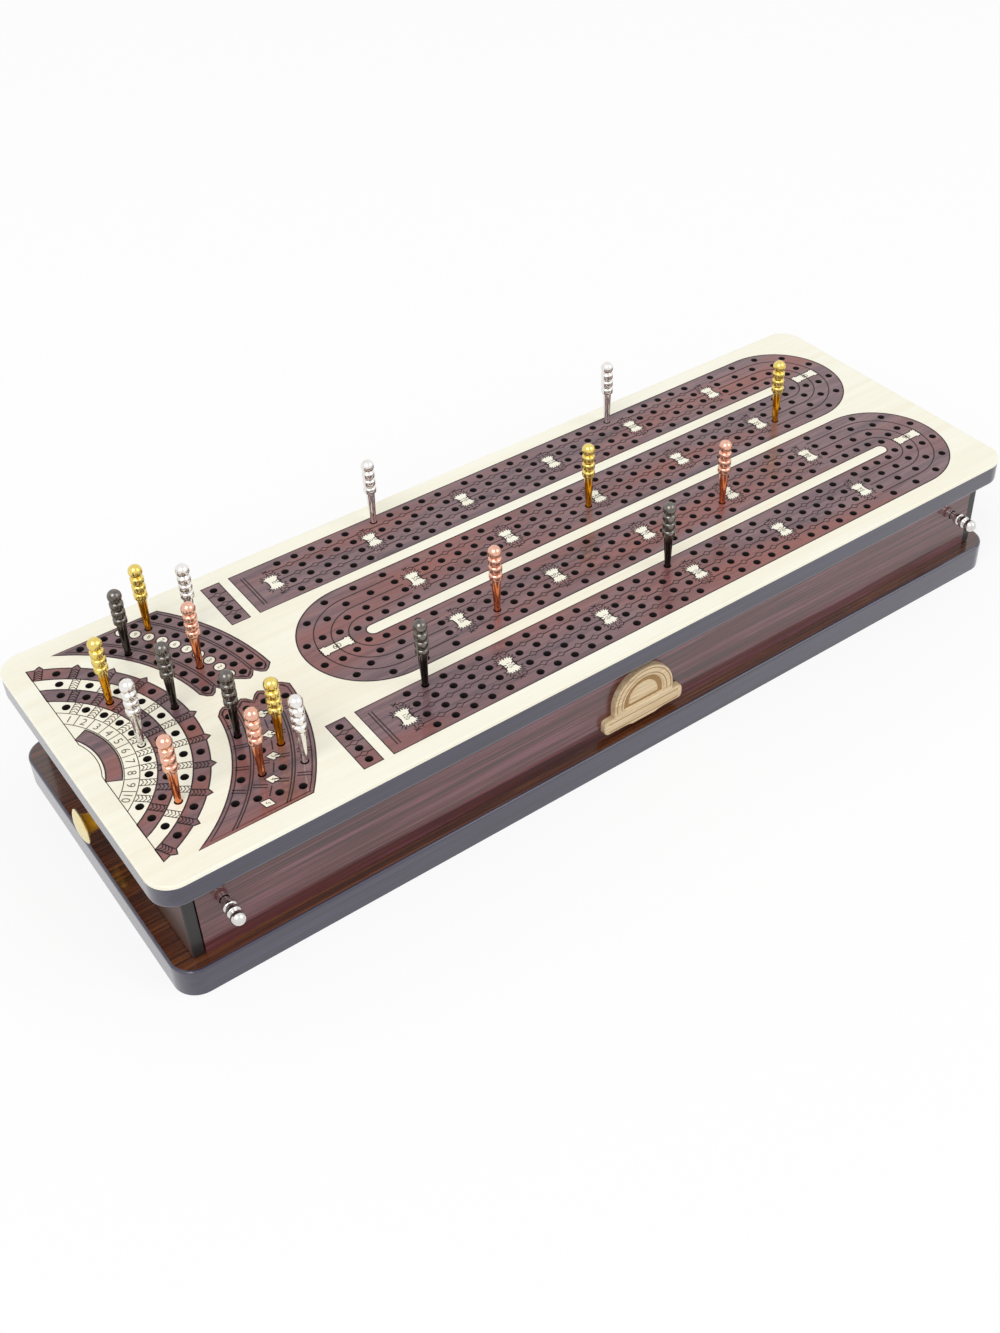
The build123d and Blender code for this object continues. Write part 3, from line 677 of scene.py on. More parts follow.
def turning_tree() -> Tree:
    """Tree that turns a round piece from points along its axis, each with its radius as girth."""
    tree = Tree("turned_piece", {"Sides": Inlet.COUNT, "Material": Inlet.COAT})
    nodes, inputs = tree.nodes, tree.inputs
    axis = node(nodes, "GeometryNodeMeshToCurve", {"Mesh": inputs["Geometry"]})
    girth = node(nodes, "GeometryNodeInputNamedAttribute", {"Name": "girth"}, data_type="FLOAT")
    section = node(nodes, "GeometryNodeCurvePrimitiveCircle", {"Resolution": inputs["Sides"], "Radius": 1.0})
    piece = node(
        nodes,
        "GeometryNodeCurveToMesh",
        {
            "Curve": axis.outputs["Curve"],
            "Profile Curve": section.outputs["Curve"],
            "Scale": girth.outputs["Attribute"],
            "Fill Caps": True,
        },
    )
    tree.close(piece.outputs["Mesh"])
    return tree


def drilling_tree() -> Tree:
    """Tree that lines a drilled hole at every point it is given, its mouth at the point."""
    lengths = {name: Inlet.LENGTH for name in ("Radius", "Inner", "Lip", "Depth")}
    tree = Tree("drilled_hole", lengths | {"Sides": Inlet.COUNT, "Material": Inlet.COAT})
    nodes, inputs = tree.nodes, tree.inputs
    places = node(nodes, "GeometryNodeMeshToPoints", {"Mesh": inputs["Geometry"]})
    lining = node(nodes, "GeometryNodeJoinGeometry")
    below = node(nodes, "ShaderNodeMath", {0: inputs["Depth"], 1: inputs["Lip"]}, operation="SUBTRACT")

    def wall(top: Any, bottom: Any, start: Any, length: Any, floor: str) -> None:
        """Adds one coned length of the lining, turned to face the hole's axis."""
        drop = node(nodes, "ShaderNodeMath", {0: start, 1: length}, operation="ADD")
        low = node(nodes, "ShaderNodeMath", {0: drop.outputs[0], 1: -1.0}, operation="MULTIPLY")
        foot = node(nodes, "ShaderNodeCombineXYZ", {"Z": low.outputs[0]})
        cone = node(
            nodes,
            "GeometryNodeMeshCone",
            {"Vertices": inputs["Sides"], "Radius Top": top, "Radius Bottom": bottom, "Depth": length},
            fill_type=floor,
        )
        inside = node(nodes, "GeometryNodeFlipFaces", {"Mesh": cone.outputs["Mesh"]})
        sunk = node(
            nodes,
            "GeometryNodeTransform",
            {"Geometry": inside.outputs["Mesh"], "Translation": foot.outputs["Vector"]},
        )
        nodes.links.new(sunk.outputs["Geometry"], lining.inputs["Geometry"])

    wall(inputs["Radius"], inputs["Inner"], 0.0, inputs["Lip"], "NONE")
    wall(inputs["Inner"], inputs["Inner"], inputs["Lip"], below.outputs[0], "NONE")
    floor_disc = node(
        nodes, "GeometryNodeMeshCircle", {"Vertices": inputs["Sides"], "Radius": inputs["Inner"]}, fill_type="NGON"
    )
    floor_level = node(nodes, "ShaderNodeMath", {0: inputs["Depth"], 1: -1.0}, operation="MULTIPLY")
    floor_place = node(nodes, "ShaderNodeCombineXYZ", {"Z": floor_level.outputs[0]})
    floor = node(
        nodes,
        "GeometryNodeTransform",
        {"Geometry": floor_disc.outputs["Mesh"], "Translation": floor_place.outputs["Vector"]},
    )
    nodes.links.new(floor.outputs["Geometry"], lining.inputs["Geometry"])
    holes = node(
        nodes,
        "GeometryNodeInstanceOnPoints",
        {"Points": places.outputs["Points"], "Instance": lining.outputs["Geometry"]},
    )
    tree.close(holes.outputs["Instances"])
    return tree


@dataclass
class Trees:
    """The box's geometry trees."""

    lines: Tree = field(default_factory=line_tree)
    turning: Tree = field(default_factory=turning_tree)
    drilling: Tree = field(default_factory=drilling_tree)

    def engrave(
        self, name: str, paths: Iterable[Loop], level: float, width: float, coat: bpy.types.Material
    ) -> bpy.types.Object:
        """Lays flat burnt lines on a level face.

        Args:
            name: The object's name.
            paths: Lines in mm; one that ends where it starts is closed.
            level: Height of the face in mm.
            width: Width of the lines in mm.
            coat: Their material.

        Returns:
            One object with all the lines.
        """
        points: list[tuple[float, float, float]] = []
        edges: list[tuple[int, int]] = []
        for path in paths:
            closed = hypot(path[0][0] - path[-1][0], path[0][1] - path[-1][1]) < 1e-6
            kept = path[:-1] if closed else path
            first = len(points)
            points += [(x * MM, y * MM, level * MM) for x, y in kept]
            edges += [(first + i, first + i + 1) for i in range(len(kept) - 1)]
            if closed:
                edges.append((first + len(kept) - 1, first))
        mesh = bpy.data.meshes.new(name)
        mesh.from_pydata(points, edges, [])
        settings = {"Width": width * MM, "Height": LINE_THICKNESS * MM, "Material": coat}
        grown = self.lines.grow(name, mesh, settings)
        return settle(name, grown, [coat])

    def turn(
        self, name: str, sections: Sequence[Spot], frame: Matrix, coat: bpy.types.Material, sides: int = 28
    ) -> bpy.types.Object:
        """Turns a round piece.

        Args:
            name: The object's name.
            sections: Height and radius in mm, from the foot up.
            frame: Where the foot stands, with Z along the axis, in mm.
            coat: Its material.
            sides: Facets round it.

        Returns:
            The piece, in its place.
        """
        mesh = bpy.data.meshes.new(name)
        mesh.from_pydata([(0, 0, h * MM) for h, _ in sections], [(i, i + 1) for i in range(len(sections) - 1)], [])
        girth = mesh.attributes.new("girth", "FLOAT", "POINT")
        girth.data.foreach_set("value", [r * MM for _, r in sections])
        grown = self.turning.grow(name, mesh, {"Sides": sides, "Material": coat})
        metres = frame.copy()
        metres.translation = frame.translation * MM
        grown.transform(metres)
        return settle(name, grown, [coat], 40.0)

    def drill(self, name: str, places: Sequence[Spot], level: float, coat: bpy.types.Material) -> bpy.types.Object:
        """Lines the drilled holes of one face."""
        mesh = bpy.data.meshes.new(name)
        mesh.from_pydata([(x * MM, y * MM, level * MM) for x, y in places], [], [])
        sizes = {"Radius": HOLE_RADIUS, "Inner": HOLE_RADIUS - HOLE_TAPER, "Lip": HOLE_LIP, "Depth": HOLE_DEPTH}
        settings = {key: value * MM for key, value in sizes.items()} | {"Sides": HOLE_SIDES, "Material": coat}
        return settle(name, self.drilling.grow(name, mesh, settings), [coat])


# Drilled holes: mouth, depth and facets, and the inner cone below a short lip
HOLE_RADIUS = 1.45
HOLE_DEPTH = 6.9
HOLE_SIDES = 14
HOLE_TAPER = 0.12
HOLE_LIP = 0.25
# Eased edges: how far in and how far from the face, in mm
EASING = ((0.9, 0.0), (0.45, 0.12), (0.12, 0.45), (0.0, 0.9))
SHEET_EASING = ((0.0, 0.4), (0.1, 0.13), (0.35, 0.0))
# Peak on the outermost games band: turn in degrees and rise in mm; plain points keep clear of it up to an end
PEAK = ((-1.5, 0.0), (-0.5, 1.1), (0.0, 1.7), (0.5, 1.1), (1.5, 0.0))
PEAK_CLEARANCE, PEAKS_END = 1.6, 64
# Short rays round a lane plaque in mm: where each starts from its middle, and how far it runs
PLAQUE_RAYS = ((3.0, 3.1, 0.9, 0.7), (2.5, 4.0, 0.6, 1.0), (3.1, 2.2, 0.9, 0.0))
# Burnt lines: widths on the rims, on the rosewood and on the maple, and thickness
RIM_WIDTH = 0.5
TRACK_LINE_WIDTH = 0.46
MAPLE_LINE_WIDTH = 0.3
LINE_THICKNESS = 0.06
# Type sizes of the numerals in mm: plaques with short and long numbers, scrolls, discs, diamonds and ring
PLAQUE_TYPE, LONG_PLAQUE_TYPE, SCROLL_TYPE, DISC_TYPE, DIAMOND_TYPE, RING_TYPE = 2.5, 2.1, 3.4, 2.4, 2.2, 4.2
SCROLL_NUMBERS = ("60", "30", "90")


# ---------------------------------------------------------------- scoring board
@dataclass(frozen=True)
class Layout:
    """Sizes of the scoring board's face in millimetres, as the solids have them."""

    board_middle: float = 0.5
    half_length: float = 182.1
    half_width: float = 63.5
    corner: float = 9.0
    base_half_length: float = 181.0
    base_corner: float = 8.5
    base_top: float = 11.5
    board_low: float = 42.0
    sheet_low: float = 50.0
    top: float = 51.5
    inlay_gap: float = 0.12
    inlay_depth: float = 1.2
    hole_pitch: float = 7.2
    row_pitch: float = 6.05
    group_pitch: float = 41.2
    lane_pitch: float = 29.3
    lane_half: float = 12.0
    turn_outer: float = 26.65
    turn_inner: float = 2.65
    lane_x: float = -95.9507
    plaque_x: float = -84.0007
    right_turn_x: float = 147.2493
    left_turn_x: float = -69.1507
    right_lead: float = 25.25
    left_lead: float = 26.35
    turn_first: tuple[float, ...] = (4.0, 6.0, 7.0, 6.1)
    turn_last: tuple[float, ...] = (5.1, 6.0, 6.7, 8.0)
    tally_x: float = -103.4507
    tally_half: float = 3.5
    arc_x: float = -195.4507
    reach: float = 55.0
    figure_end: float = -173.8993
    inner_radius: float = 63.6
    outer_radius: float = 89.6
    corner_rows: tuple[float, ...] = (66.4, 72.1, 80.3, 86.3)
    lower_rows: tuple[float, ...] = (66.5, 72.9, 79.2, 86.1)
    lower_first: tuple[float, ...] = (8.7, 8.9, 9.2, 11.1)
    lower_last: tuple[float, ...] = (10.4, 8.1, 6.35, 4.3)
    corner_heights: tuple[float, float] = (8.0, 52.3)
    point: float = 3.6
    notch: float = 6.7
    tooth_half: float = 1.4
    tooth_rise: float = 0.9
    games_edges: tuple[float, ...] = (56.8, 51.5, 46.1, 40.5, 34.9)
    games_steps: tuple[float, ...] = (12.7, 12.2, 11.7, 10.6)
    label_outer: float = 29.5
    label_inner: float = 24.5
    label_half: float = 28.4
    label_bend: float = 23.3
    number_orbit: float = 32.3
    number_outer: float = 34.7
    number_step: float = 9.5
    disc_orbit: float = 76.3
    disc_radius: float = 2.0
    disc_start: float = 7.4
    disc_inset: float = 3.0
    diamond_orbit: float = 76.4
    diamond_half: Spot = (2.5, 1.9)
    diamond_start: float = -10.7
    diamond_inset: float = 4.6

    def lane_y(self, lane: int) -> float:
        """Middle of a lane, the back lane being 0."""
        return (1.5 - lane) * self.lane_pitch

    def polar(self, radius: float, angle: float) -> Spot:
        """Place at a radius and an angle in degrees about the left figures' centre."""
        return (self.arc_x + radius * cos(radians(angle)), radius * sin(radians(angle)))

    def at_height(self, radius: float, height: float) -> Spot:
        """Place on a radius about that centre at a height across the board."""
        return (self.arc_x + sqrt(radius * radius - height * height), height)

    def strung(self, radius: float, start: float, end: float, count: int) -> list[tuple[Spot, float]]:
        """Places evenly spaced between two angles on a radius, each with its angle in degrees."""
        angles = [start + (end - start) * i / (count - 1) for i in range(count)]
        return [(self.polar(radius, angle), angle) for angle in angles]

    def turns(self) -> tuple[tuple[float, float, int, float], ...]:
        """Middle, facing and straight lead of each turn."""
        return (
            (self.left_turn_x, 0.0, -1, self.left_lead),
            (self.right_turn_x, self.lane_pitch, 1, self.right_lead),
            (self.right_turn_x, -self.lane_pitch, 1, self.right_lead),
        )

    def groups(self) -> list[tuple[int, float]]:
        """Lane and middle of every group of twenty holes on the straights."""
        return [
            (lane, self.plaque_x + (group + 0.5) * self.group_pitch)
            for lane in range(4)
            for group in range(0 if lane in (0, 3) else 1, 5)
        ]

    def track_holes(self) -> list[Spot]:
        """Holes of the lanes, the turns and the blocks of four."""
        rows = [(1.5 - row) * self.row_pitch for row in range(4)]
        spots = [
            (middle + (step - 2) * self.hole_pitch, self.lane_y(lane) + row)
            for lane, middle in self.groups()
            for row in rows
            for step in range(5)
        ]
        for x, y, facing, lead in self.turns():
            for k, (first, last) in enumerate(zip(self.turn_first, self.turn_last)):
                radius = self.lane_pitch / 2 + (k - 1.5) * self.row_pitch
                quarter = radius * pi / 2
                pitch = (lead + quarter - first - last) / 4
                for step in range(5):
                    run = first + step * pitch
                    angle = min(run / radius, pi / 2)
                    across, up = radius * cos(angle) - max(run - quarter, 0.0), radius * sin(angle)
                    spots += [(x + facing * across, y + side * up) for side in (1, -1)]
        return spots + [(self.tally_x, self.lane_y(lane) + row) for lane in (0, 3) for row in rows]

    def figure_holes(self) -> list[Spot]:
        """Holes of the corner and lower figures."""
        spots: list[Spot] = []
        rows = [(radius, *self.corner_heights, 10, 1) for radius in self.corner_rows]
        rows += [
            (radius, first, self.reach - last, 5, -1)
            for radius, first, last in zip(self.lower_rows, self.lower_first, self.lower_last)
        ]
        for radius, low, high, count, side in rows:
            start, end = degrees(asin(low / radius)), degrees(asin(high / radius))
            spots += [spot for spot, _ in self.strung(radius, side * start, side * end, count)]
        return spots

    def games_holes(self, band: int) -> list[Spot]:
        """Ten holes along the middle of one band of the games figure."""
        radius = (self.games_edges[band] + self.games_edges[band + 1]) / 2
        end = 4.5 * self.games_steps[band]
        return [spot for spot, _ in self.strung(radius, -end, end, 10)]


class ScoringBoard:
    """Rosewood board with its maple face, inlays, holes, burnt lines and numerals."""

    def __init__(self, layout: Layout, finishes: Finishes, trees: Trees) -> None:
        """Works out the outlines that the pieces share."""
        self.layout = layout
        self.finishes = finishes
        self.trees = trees
        self.track_holes = layout.track_holes()
        self.figure_holes = layout.figure_holes()
        self.dark_games = layout.games_holes(0) + layout.games_holes(2)
        self.light_games = layout.games_holes(1) + layout.games_holes(3)
        self.plaques = self.plaque_places()

    def plaque_places(self) -> list[tuple[Spot, str]]:
        """Place and number of each plaque in the lanes."""
        lay = self.layout
        found = []
        for lane in range(4):
            for line in range(0 if lane in (0, 3) else 1, 6):
                # Lanes are counted along the way a peg travels: out along the back lane, then to and fro
                steps = {0: line, 1: 12 - line, 2: 11 + line, 3: 24 - line}[lane]
                spot = (lay.plaque_x + line * lay.group_pitch, lay.lane_y(lane))
                found.append((spot, str(steps * 5)))
        return found

    # Outlines -----------------------------------------------------------------
    def track_outline(self, grow: float) -> Loop:
        """Winding outline of the four lanes and their three turns."""
        lay = self.layout
        half, outer, inner = lay.lane_half + grow, lay.turn_outer + grow, lay.turn_inner - grow
        start, right, left, gap = lay.lane_x - grow, lay.right_turn_x, lay.left_turn_x, lay.lane_pitch
        return wound(
            [(start, lay.lane_y(0) - half), (start, lay.lane_y(0) + half)]
            + arc((right, gap), outer, 90, -90, 3)
            + arc((left, 0), inner, 90, 270, 15)
            + arc((right, -gap), outer, 90, -90, 3)
            + [(start, lay.lane_y(3) - half), (start, lay.lane_y(3) + half)]
            + arc((right, -gap), inner, -90, 90, 15)
            + arc((left, 0), outer, -90, -270, 3)
            + arc((right, gap), inner, -90, 90, 15)
        )

    def row_outline(self, rows: Sequence[float], side: int, grow: float) -> Loop:
        """Outline of the corner (side +1) or lower (side -1) figure, with its pointed rows."""
        lay = self.layout
        inner, outer = lay.inner_radius - grow, lay.outer_radius + grow
        reach, notch, point = lay.reach + grow, lay.notch - grow, lay.point - grow
        ends = [lay.at_height(inner, notch)]
        for row, radius in enumerate(rows):
            after = outer if row == 3 else (radius + rows[row + 1]) / 2
            for shift, rise in ((-lay.tooth_half, lay.tooth_rise), (0.0, 0.0), (lay.tooth_half, lay.tooth_rise)):
                ends.append(lay.at_height(radius + shift, point + rise))
            ends.append(lay.at_height(after, notch))
        outside = [lay.polar(outer, a) for a in self.spread(outer, notch, reach)[1:]]
        inside = [lay.polar(inner, a) for a in self.spread(inner, notch, reach)[:0:-1]]
        return wound([(x, side * y) for x, y in ends + outside + inside])

    def spread(self, radius: float, low: float, high: float) -> list[float]:
        """Angles in degrees, 3 apart, between two heights on a radius."""
        return self.even(degrees(asin(low / radius)), degrees(asin(high / radius)), 3)

    def band_outline(self, band: int, grow: float) -> Loop:
        """Outline of one dark band of the games figure; the outermost has a peak at each bar."""
        lay = self.layout
        high, low = lay.games_edges[band] + grow, lay.games_edges[band + 1] - grow
        clip = lay.figure_end - grow
        run = clip - lay.arc_x
        high_end, low_end = degrees(atan2(sqrt(high**2 - run**2), run)), degrees(atan2(sqrt(low**2 - run**2), run))
        outside = [(angle, high) for angle in self.even(-high_end, high_end, 3)]
        if band == 0:
            for line in range(11):
                middle = (line - 5) * lay.games_steps[0]
                outside = [(a, r) for a, r in outside if abs(a - middle) > PEAK_CLEARANCE or abs(a) > PEAKS_END]
                outside += [(middle + turn, high + rise) for turn, rise in PEAK]
        outside.sort()
        inside = [(angle, low) for angle in self.even(low_end, -low_end, 4)]
        return wound([lay.polar(radius, angle) for angle, radius in outside + inside])

    def even(self, start: float, end: float, step: float) -> list[float]:
        """Values from start to end, at most a step apart."""
        count = max(1, ceil(abs(end - start) / step))
        return [start + (end - start) * i / count for i in range(count + 1)]

    def label_outline(self, grow: float) -> Loop:
        """Outline of the dark curved band inside the number ring."""
        lay = self.layout
        spread = lay.label_half + degrees(grow / lay.label_inner)
        middle = (lay.arc_x, 0.0)
        return wound(
            arc(middle, lay.label_outer + grow, -spread, spread) + arc(middle, lay.label_inner - grow, spread, -spread)
        )

    def tally_outline(self, lane: int, grow: float) -> Loop:
        """Outline of the block of four holes before a long lane."""
        lay = self.layout
        x, y, half, tall = lay.tally_x, lay.lane_y(lane), lay.tally_half + grow, lay.lane_half + grow
        return [(x - half, y - tall), (x + half, y - tall), (x + half, y + tall), (x - half, y + tall)]

    def dark_figures(self, grow: float) -> list[tuple[Loop, list[Spot]]]:
        """Each dark outline with the holes drilled in it."""
        lay = self.layout
        tally = [spot for spot in self.track_holes if abs(spot[0] - lay.tally_x) < 1]
        figures = [
            (self.track_outline(grow), [spot for spot in self.track_holes if spot[0] > lay.lane_x]),
            (self.tally_outline(0, grow), [spot for spot in tally if spot[1] > 0]),
            (self.tally_outline(3, grow), [spot for spot in tally if spot[1] < 0]),
            (self.row_outline(lay.corner_rows, 1, grow), [spot for spot in self.figure_holes if spot[1] > 0]),
            (self.row_outline(lay.lower_rows, -1, grow), [spot for spot in self.figure_holes if spot[1] < 0]),
            (self.label_outline(grow), []),
        ]
        for band in (0, 2):
            figures.append((self.band_outline(band, grow), lay.games_holes(band)))
        return figures

    # Plaques ------------------------------------------------------------------
    def hide_outline(self, grow: float) -> Loop:
        """Lane plaque with hollow sides, pointed corners and a small wave at each end."""
        quarter = [(0.0, 3.3), (0.5, 4.4), (0.95, 3.5), (1.5, 4.5), (1.75, 3.2), (2.7, 3.9), (2.3, 2.9)]
        quarter += [(3.3, 2.6), (2.3, 2.0), (2.1, 1.1)]
        right = quarter + [(2.0, 0.0)] + [(x, -y) for x, y in quarter[::-1]]
        whole = right + [(-x, y) for x, y in right[-2:0:-1]]
        return wound([(x * (1 + grow / 2.2), y * (1 + grow / 3.5)) for x, y in whole])

    def scroll_outline(self, grow: float) -> Loop:
        """Plaque at the top of a turn: a scroll with notched ends."""
        quarter = [(6.2, 0.0), (5.6, 0.5), (6.2, 1.2), (5.7, 1.7), (6.0, 2.5), (5.0, 2.1), (4.2, 2.5), (3.6, 1.9)]
        upper = quarter + [(-x, y) for x, y in quarter[::-1]]
        lower = [(x, -y) for x, y in upper[-2:0:-1]]
        return wound([(x * (1 + grow / 6), y * (1 + grow / 2.2)) for x, y in upper + lower])

    def disc_places(self) -> list[tuple[Spot, float]]:
        """Place and angle of each disc of the corner figure."""
        lay = self.layout
        last = degrees(asin((lay.reach - lay.disc_inset) / lay.disc_orbit))
        return lay.strung(lay.disc_orbit, lay.disc_start, last, 10)

    def diamond_places(self) -> list[tuple[Spot, float]]:
        """Place and angle of each diamond of the lower figure."""
        lay = self.layout
        last = degrees(asin((lay.reach - lay.diamond_inset) / lay.diamond_orbit))
        return lay.strung(lay.diamond_orbit, lay.diamond_start, -last, 5)

    def inlays(self, grow: float) -> dict[str, list[Loop]]:
        """Outlines of the maple inlays, by the solid each set stands for."""
        long, short = (half * (1 + grow / 2) for half in self.layout.diamond_half)
        diamond = [(long, 0.0), (0.0, short), (-long, 0.0), (0.0, -short)]
        return {
            "star_plaques": [turn_about(self.hide_outline(grow), spot, 0) for spot, _ in self.plaques],
            "turn_plaques": [
                turn_about(self.scroll_outline(grow), (x + facing * self.layout.lane_pitch / 2, y), 0)
                for x, y, facing, _ in self.layout.turns()
            ],
            "corner_discs": [ring(spot, self.layout.disc_radius + grow, 20) for spot, _ in self.disc_places()],
            "lower_diamonds": [turn_about(diamond, spot, angle) for spot, angle in self.diamond_places()],
        }

    # Pieces -------------------------------------------------------------------
    def build(self) -> None:
        """Builds every piece of the board."""
        self.build_timber()
        self.build_sheet()
        self.build_inlays()
        self.build_linings()
        self.build_lines()
        self.build_numerals()

    def edge_loop(self, inset: float) -> Loop:
        """The board's outline, drawn in by an inset."""
        lay = self.layout
        outline = rounded_oblong(lay.half_length - inset, lay.half_width - inset, lay.corner - inset)
        return turn_about(outline, (lay.board_middle, 0.0), 0)

    def build_timber(self) -> None:
        """Rosewood board: eased lower edge, the ledge under the sheet and the raised dark figures."""
        lay = self.layout
        draft = Draft()
        profile = [(inset, lay.board_low + rise) for inset, rise in EASING] + [(0.0, lay.sheet_low)]
        loops = [self.edge_loop(inset) for inset, _ in profile]
        draft.rise(loops, [level for _, level in profile])
        draft.fill(loops[0], [], lay.board_low, up=False)
        figures = self.dark_figures(0.0)
        light = [ring(spot, HOLE_RADIUS, HOLE_SIDES) for spot in self.light_games]
        draft.fill(loops[-1], [outline for outline, _ in figures] + light, lay.sheet_low, 1)
        pockets = [loop for loops_ in self.inlays(lay.inlay_gap).values() for loop in loops_]
        for outline, spots in figures:
            inside = [loop for loop in pockets if within(loop[0], outline)]
            draft.fill(outline, [ring(spot, HOLE_RADIUS, HOLE_SIDES) for spot in spots] + inside, lay.top, 1)
            draft.band(outline, lay.sheet_low, outline, lay.top, 2)
            for pocket in inside:
                draft.band(pocket, lay.top - lay.inlay_depth, pocket, lay.top, 2, inward=True)
                draft.fill(pocket, [], lay.top - lay.inlay_depth, 2)
        finishes = self.finishes
        # Coat 0, on the eased edge and underside, is the slate painted reflection
        coats = [finishes[EDGE_PAINTED_SLATE_REFLECTION], finishes[ROSEWOOD_FACE], finishes[SCORCHED_DARK]]
        report(draft.make("board_timber", coats), "case", "rosewood_board", "top_board")

    def build_sheet(self) -> None:
        """Maple sheet with its cut-outs and a slightly eased outer edge."""
        lay = self.layout
        draft = Draft()
        profile = [(0.0, lay.sheet_low)] + [(inset, lay.top - drop) for inset, drop in SHEET_EASING]
        loops = [self.edge_loop(inset) for inset, _ in profile]
        draft.rise(loops, [level for _, level in profile])
        cuts = [outline for outline, _ in self.dark_figures(lay.inlay_gap)]
        light = [ring(spot, HOLE_RADIUS, HOLE_SIDES) for spot in self.light_games]
        draft.fill(loops[-1], cuts + light, lay.top)
        draft.fill(loops[0], cuts + light, lay.sheet_low, 0, up=False)
        for cut in cuts:
            draft.band(cut, lay.sheet_low, cut, lay.top, 1, inward=True)
        coats = [self.finishes[MAPLE], self.finishes[SCORCHED_BROWN]]
        report(draft.make("maple_sheet", coats), "case", "maple", "face_sheet")

    def build_inlays(self) -> None:
        """Maple plaques, scrolls, discs and diamonds, flush with the board."""
        lay = self.layout
        low = lay.top - lay.inlay_depth
        for solid, outlines in self.inlays(0.0).items():
            draft = Draft()
            for outline in outlines:
                draft.rise([outline, outline], [low, lay.top])
                draft.fill(outline, [], low, up=False)
                draft.fill(outline, [], lay.top)
            report(draft.make(f"maple_{solid}", [self.finishes[MAPLE]]), "case", "maple", solid)

    def build_linings(self) -> None:
        """Sides and bottoms of the drilled holes."""
        spots = self.track_holes + self.figure_holes + self.dark_games + self.light_games
        # The linings are coloured near-black as painted shade inside the holes
        coat = self.finishes[HOLE_PAINTED_SHADE]
        report(self.trees.drill("hole_linings", spots, self.layout.top, coat), "case", "rosewood_board")

    def chain(self, start: float, end: float, y: float, middles: Sequence[float]) -> list[Loop]:
        """A line that opens into a small diamond at each of its middles."""
        wide, tall = 1.7, 1.1
        paths: list[Loop] = []
        at = start
        for middle in middles:
            paths.append([(at, y), (middle - wide, y)])
            paths.append(
                [(middle - wide, y), (middle, y + tall), (middle + wide, y), (middle, y - tall), (middle - wide, y)]
            )
            at = middle + wide
        paths.append([(at, y), (end, y)])
        return paths

    def lane_chains(self) -> list[Loop]:
        """Chains between the rows of the straights, with a forked barb at each end."""
        lay = self.layout
        paths: list[Loop] = []
        for lane, middle in lay.groups():
            for row in (1, 0, -1):
                y = lay.lane_y(lane) + row * lay.row_pitch
                reach = 2.5 * lay.hole_pitch - 0.4
                mids = [middle + (k - 1.5) * lay.hole_pitch for k in range(4)]
                paths += self.chain(middle - reach, middle + reach, y, mids)
                for side in (-1, 1):
                    x = middle + side * reach
                    for up in (1, -1):
                        paths.append([(x, y), (x + side * 1.0, y + up * 0.9), (x + side * 2.0, y + up * 0.4)])
        return paths

    def plaque_rays(self) -> list[Loop]:
        """Stem, small cross and short rays at both ends of each lane plaque."""
        paths: list[Loop] = []
        for (x, y), _ in self.plaques:
            for side in (-1, 1):
                paths.append([(x, y + side * 4.6), (x, y + side * 6.3)])
                for lean in (-1.0, 1.0):
                    paths.append([(x + lean, y + side * 7.7), (x - lean, y + side * 6.5)])
                for across, up, run, rise in PLAQUE_RAYS:
                    for hand in (-1, 1):
                        start = (x + hand * across, y + side * up)
                        paths.append([start, (start[0] + hand * run, start[1] + side * rise)])
        return paths

    def turn_lines(self) -> list[Loop]:
        """Arcs between the rows of the turns, and the lines before the long lanes."""
        lay = self.layout
        paths: list[Loop] = []
        for x, y, facing, lead in lay.turns():
            for k in range(3):
                radius = lay.lane_pitch / 2 + (k - 1) * lay.row_pitch
                end = x - facing * (lead - 5.0)
                bend = arc((x, y), radius, 90, 90 - facing * 180, 4)
                paths.append([(end, y + radius)] + bend + [(end, y - radius)])
        for lane in (0, 3):
            for row in (1, 0, -1):
                y = lay.lane_y(lane) + row * lay.row_pitch
                paths += self.chain(lay.tally_x - 3.4, lay.tally_x + 3.4, y, [lay.tally_x])
            x = lay.lane_x + 3.2
            half = lay.lane_half - 3.0
            y = lay.lane_y(lane)
            paths += [[(x, y - half), (x, y + half)], [(x + 1.2, y - half), (x + 1.2, y + half)]]
        return paths

    def figure_lines(self) -> list[Loop]:
        """Burnt lines on the corner and lower figures."""
        lay = self.layout
        paths: list[Loop] = []
        for rows, side in ((lay.corner_rows, 1), (lay.lower_rows, -1)):
            # Double arcs between the first and second and between the third and fourth rows
            for a, b in ((0, 1), (2, 3)):
                for shift in (-0.45, 0.45):
                    radius = (rows[a] + rows[b]) / 2 + shift
                    angles = self.spread(radius, lay.notch + 0.6, lay.reach - 1)
                    paths.append([lay.polar(radius, side * angle) for angle in angles])
            inner = self.row_outline(rows, side, -1.2)
            paths.append(inner + inner[:1])
            for row in rows:
                tip = [lay.at_height(row - 2.0, lay.notch + 0.3), lay.at_height(row, lay.point + 1.3)]
                tip.append(lay.at_height(row + 2.0, lay.notch + 0.3))
                paths.append([(x, side * y) for x, y in tip])
        # Cross lines in pairs between the holes of the lower figure
        for row, radius in enumerate(lay.lower_rows):
            start = degrees(asin(lay.lower_first[row] / radius))
            end = degrees(asin((lay.reach - lay.lower_last[row]) / radius))
            for i in range(4):
                middle = start + (end - start) * (i + 0.5) / 4
                for shift in (-0.6, 0.6):
                    angle = -middle + degrees(shift / radius)
                    paths.append([lay.polar(radius - 2.3, angle), lay.polar(radius + 2.3, angle)])
        for spots in (self.disc_places(), self.diamond_places()):
            radius = hypot(spots[0][0][0] - lay.arc_x, spots[0][0][1])
            for (_, a), (_, b) in zip(spots, spots[1:]):
                gap = degrees(2.9 / radius)
                low, high = (a + gap, b - gap) if b > a else (a - gap, b + gap)
                if (high - low) * (b - a) > 0:
                    paths.append([lay.polar(radius, low), lay.polar(radius, high)])
        return paths

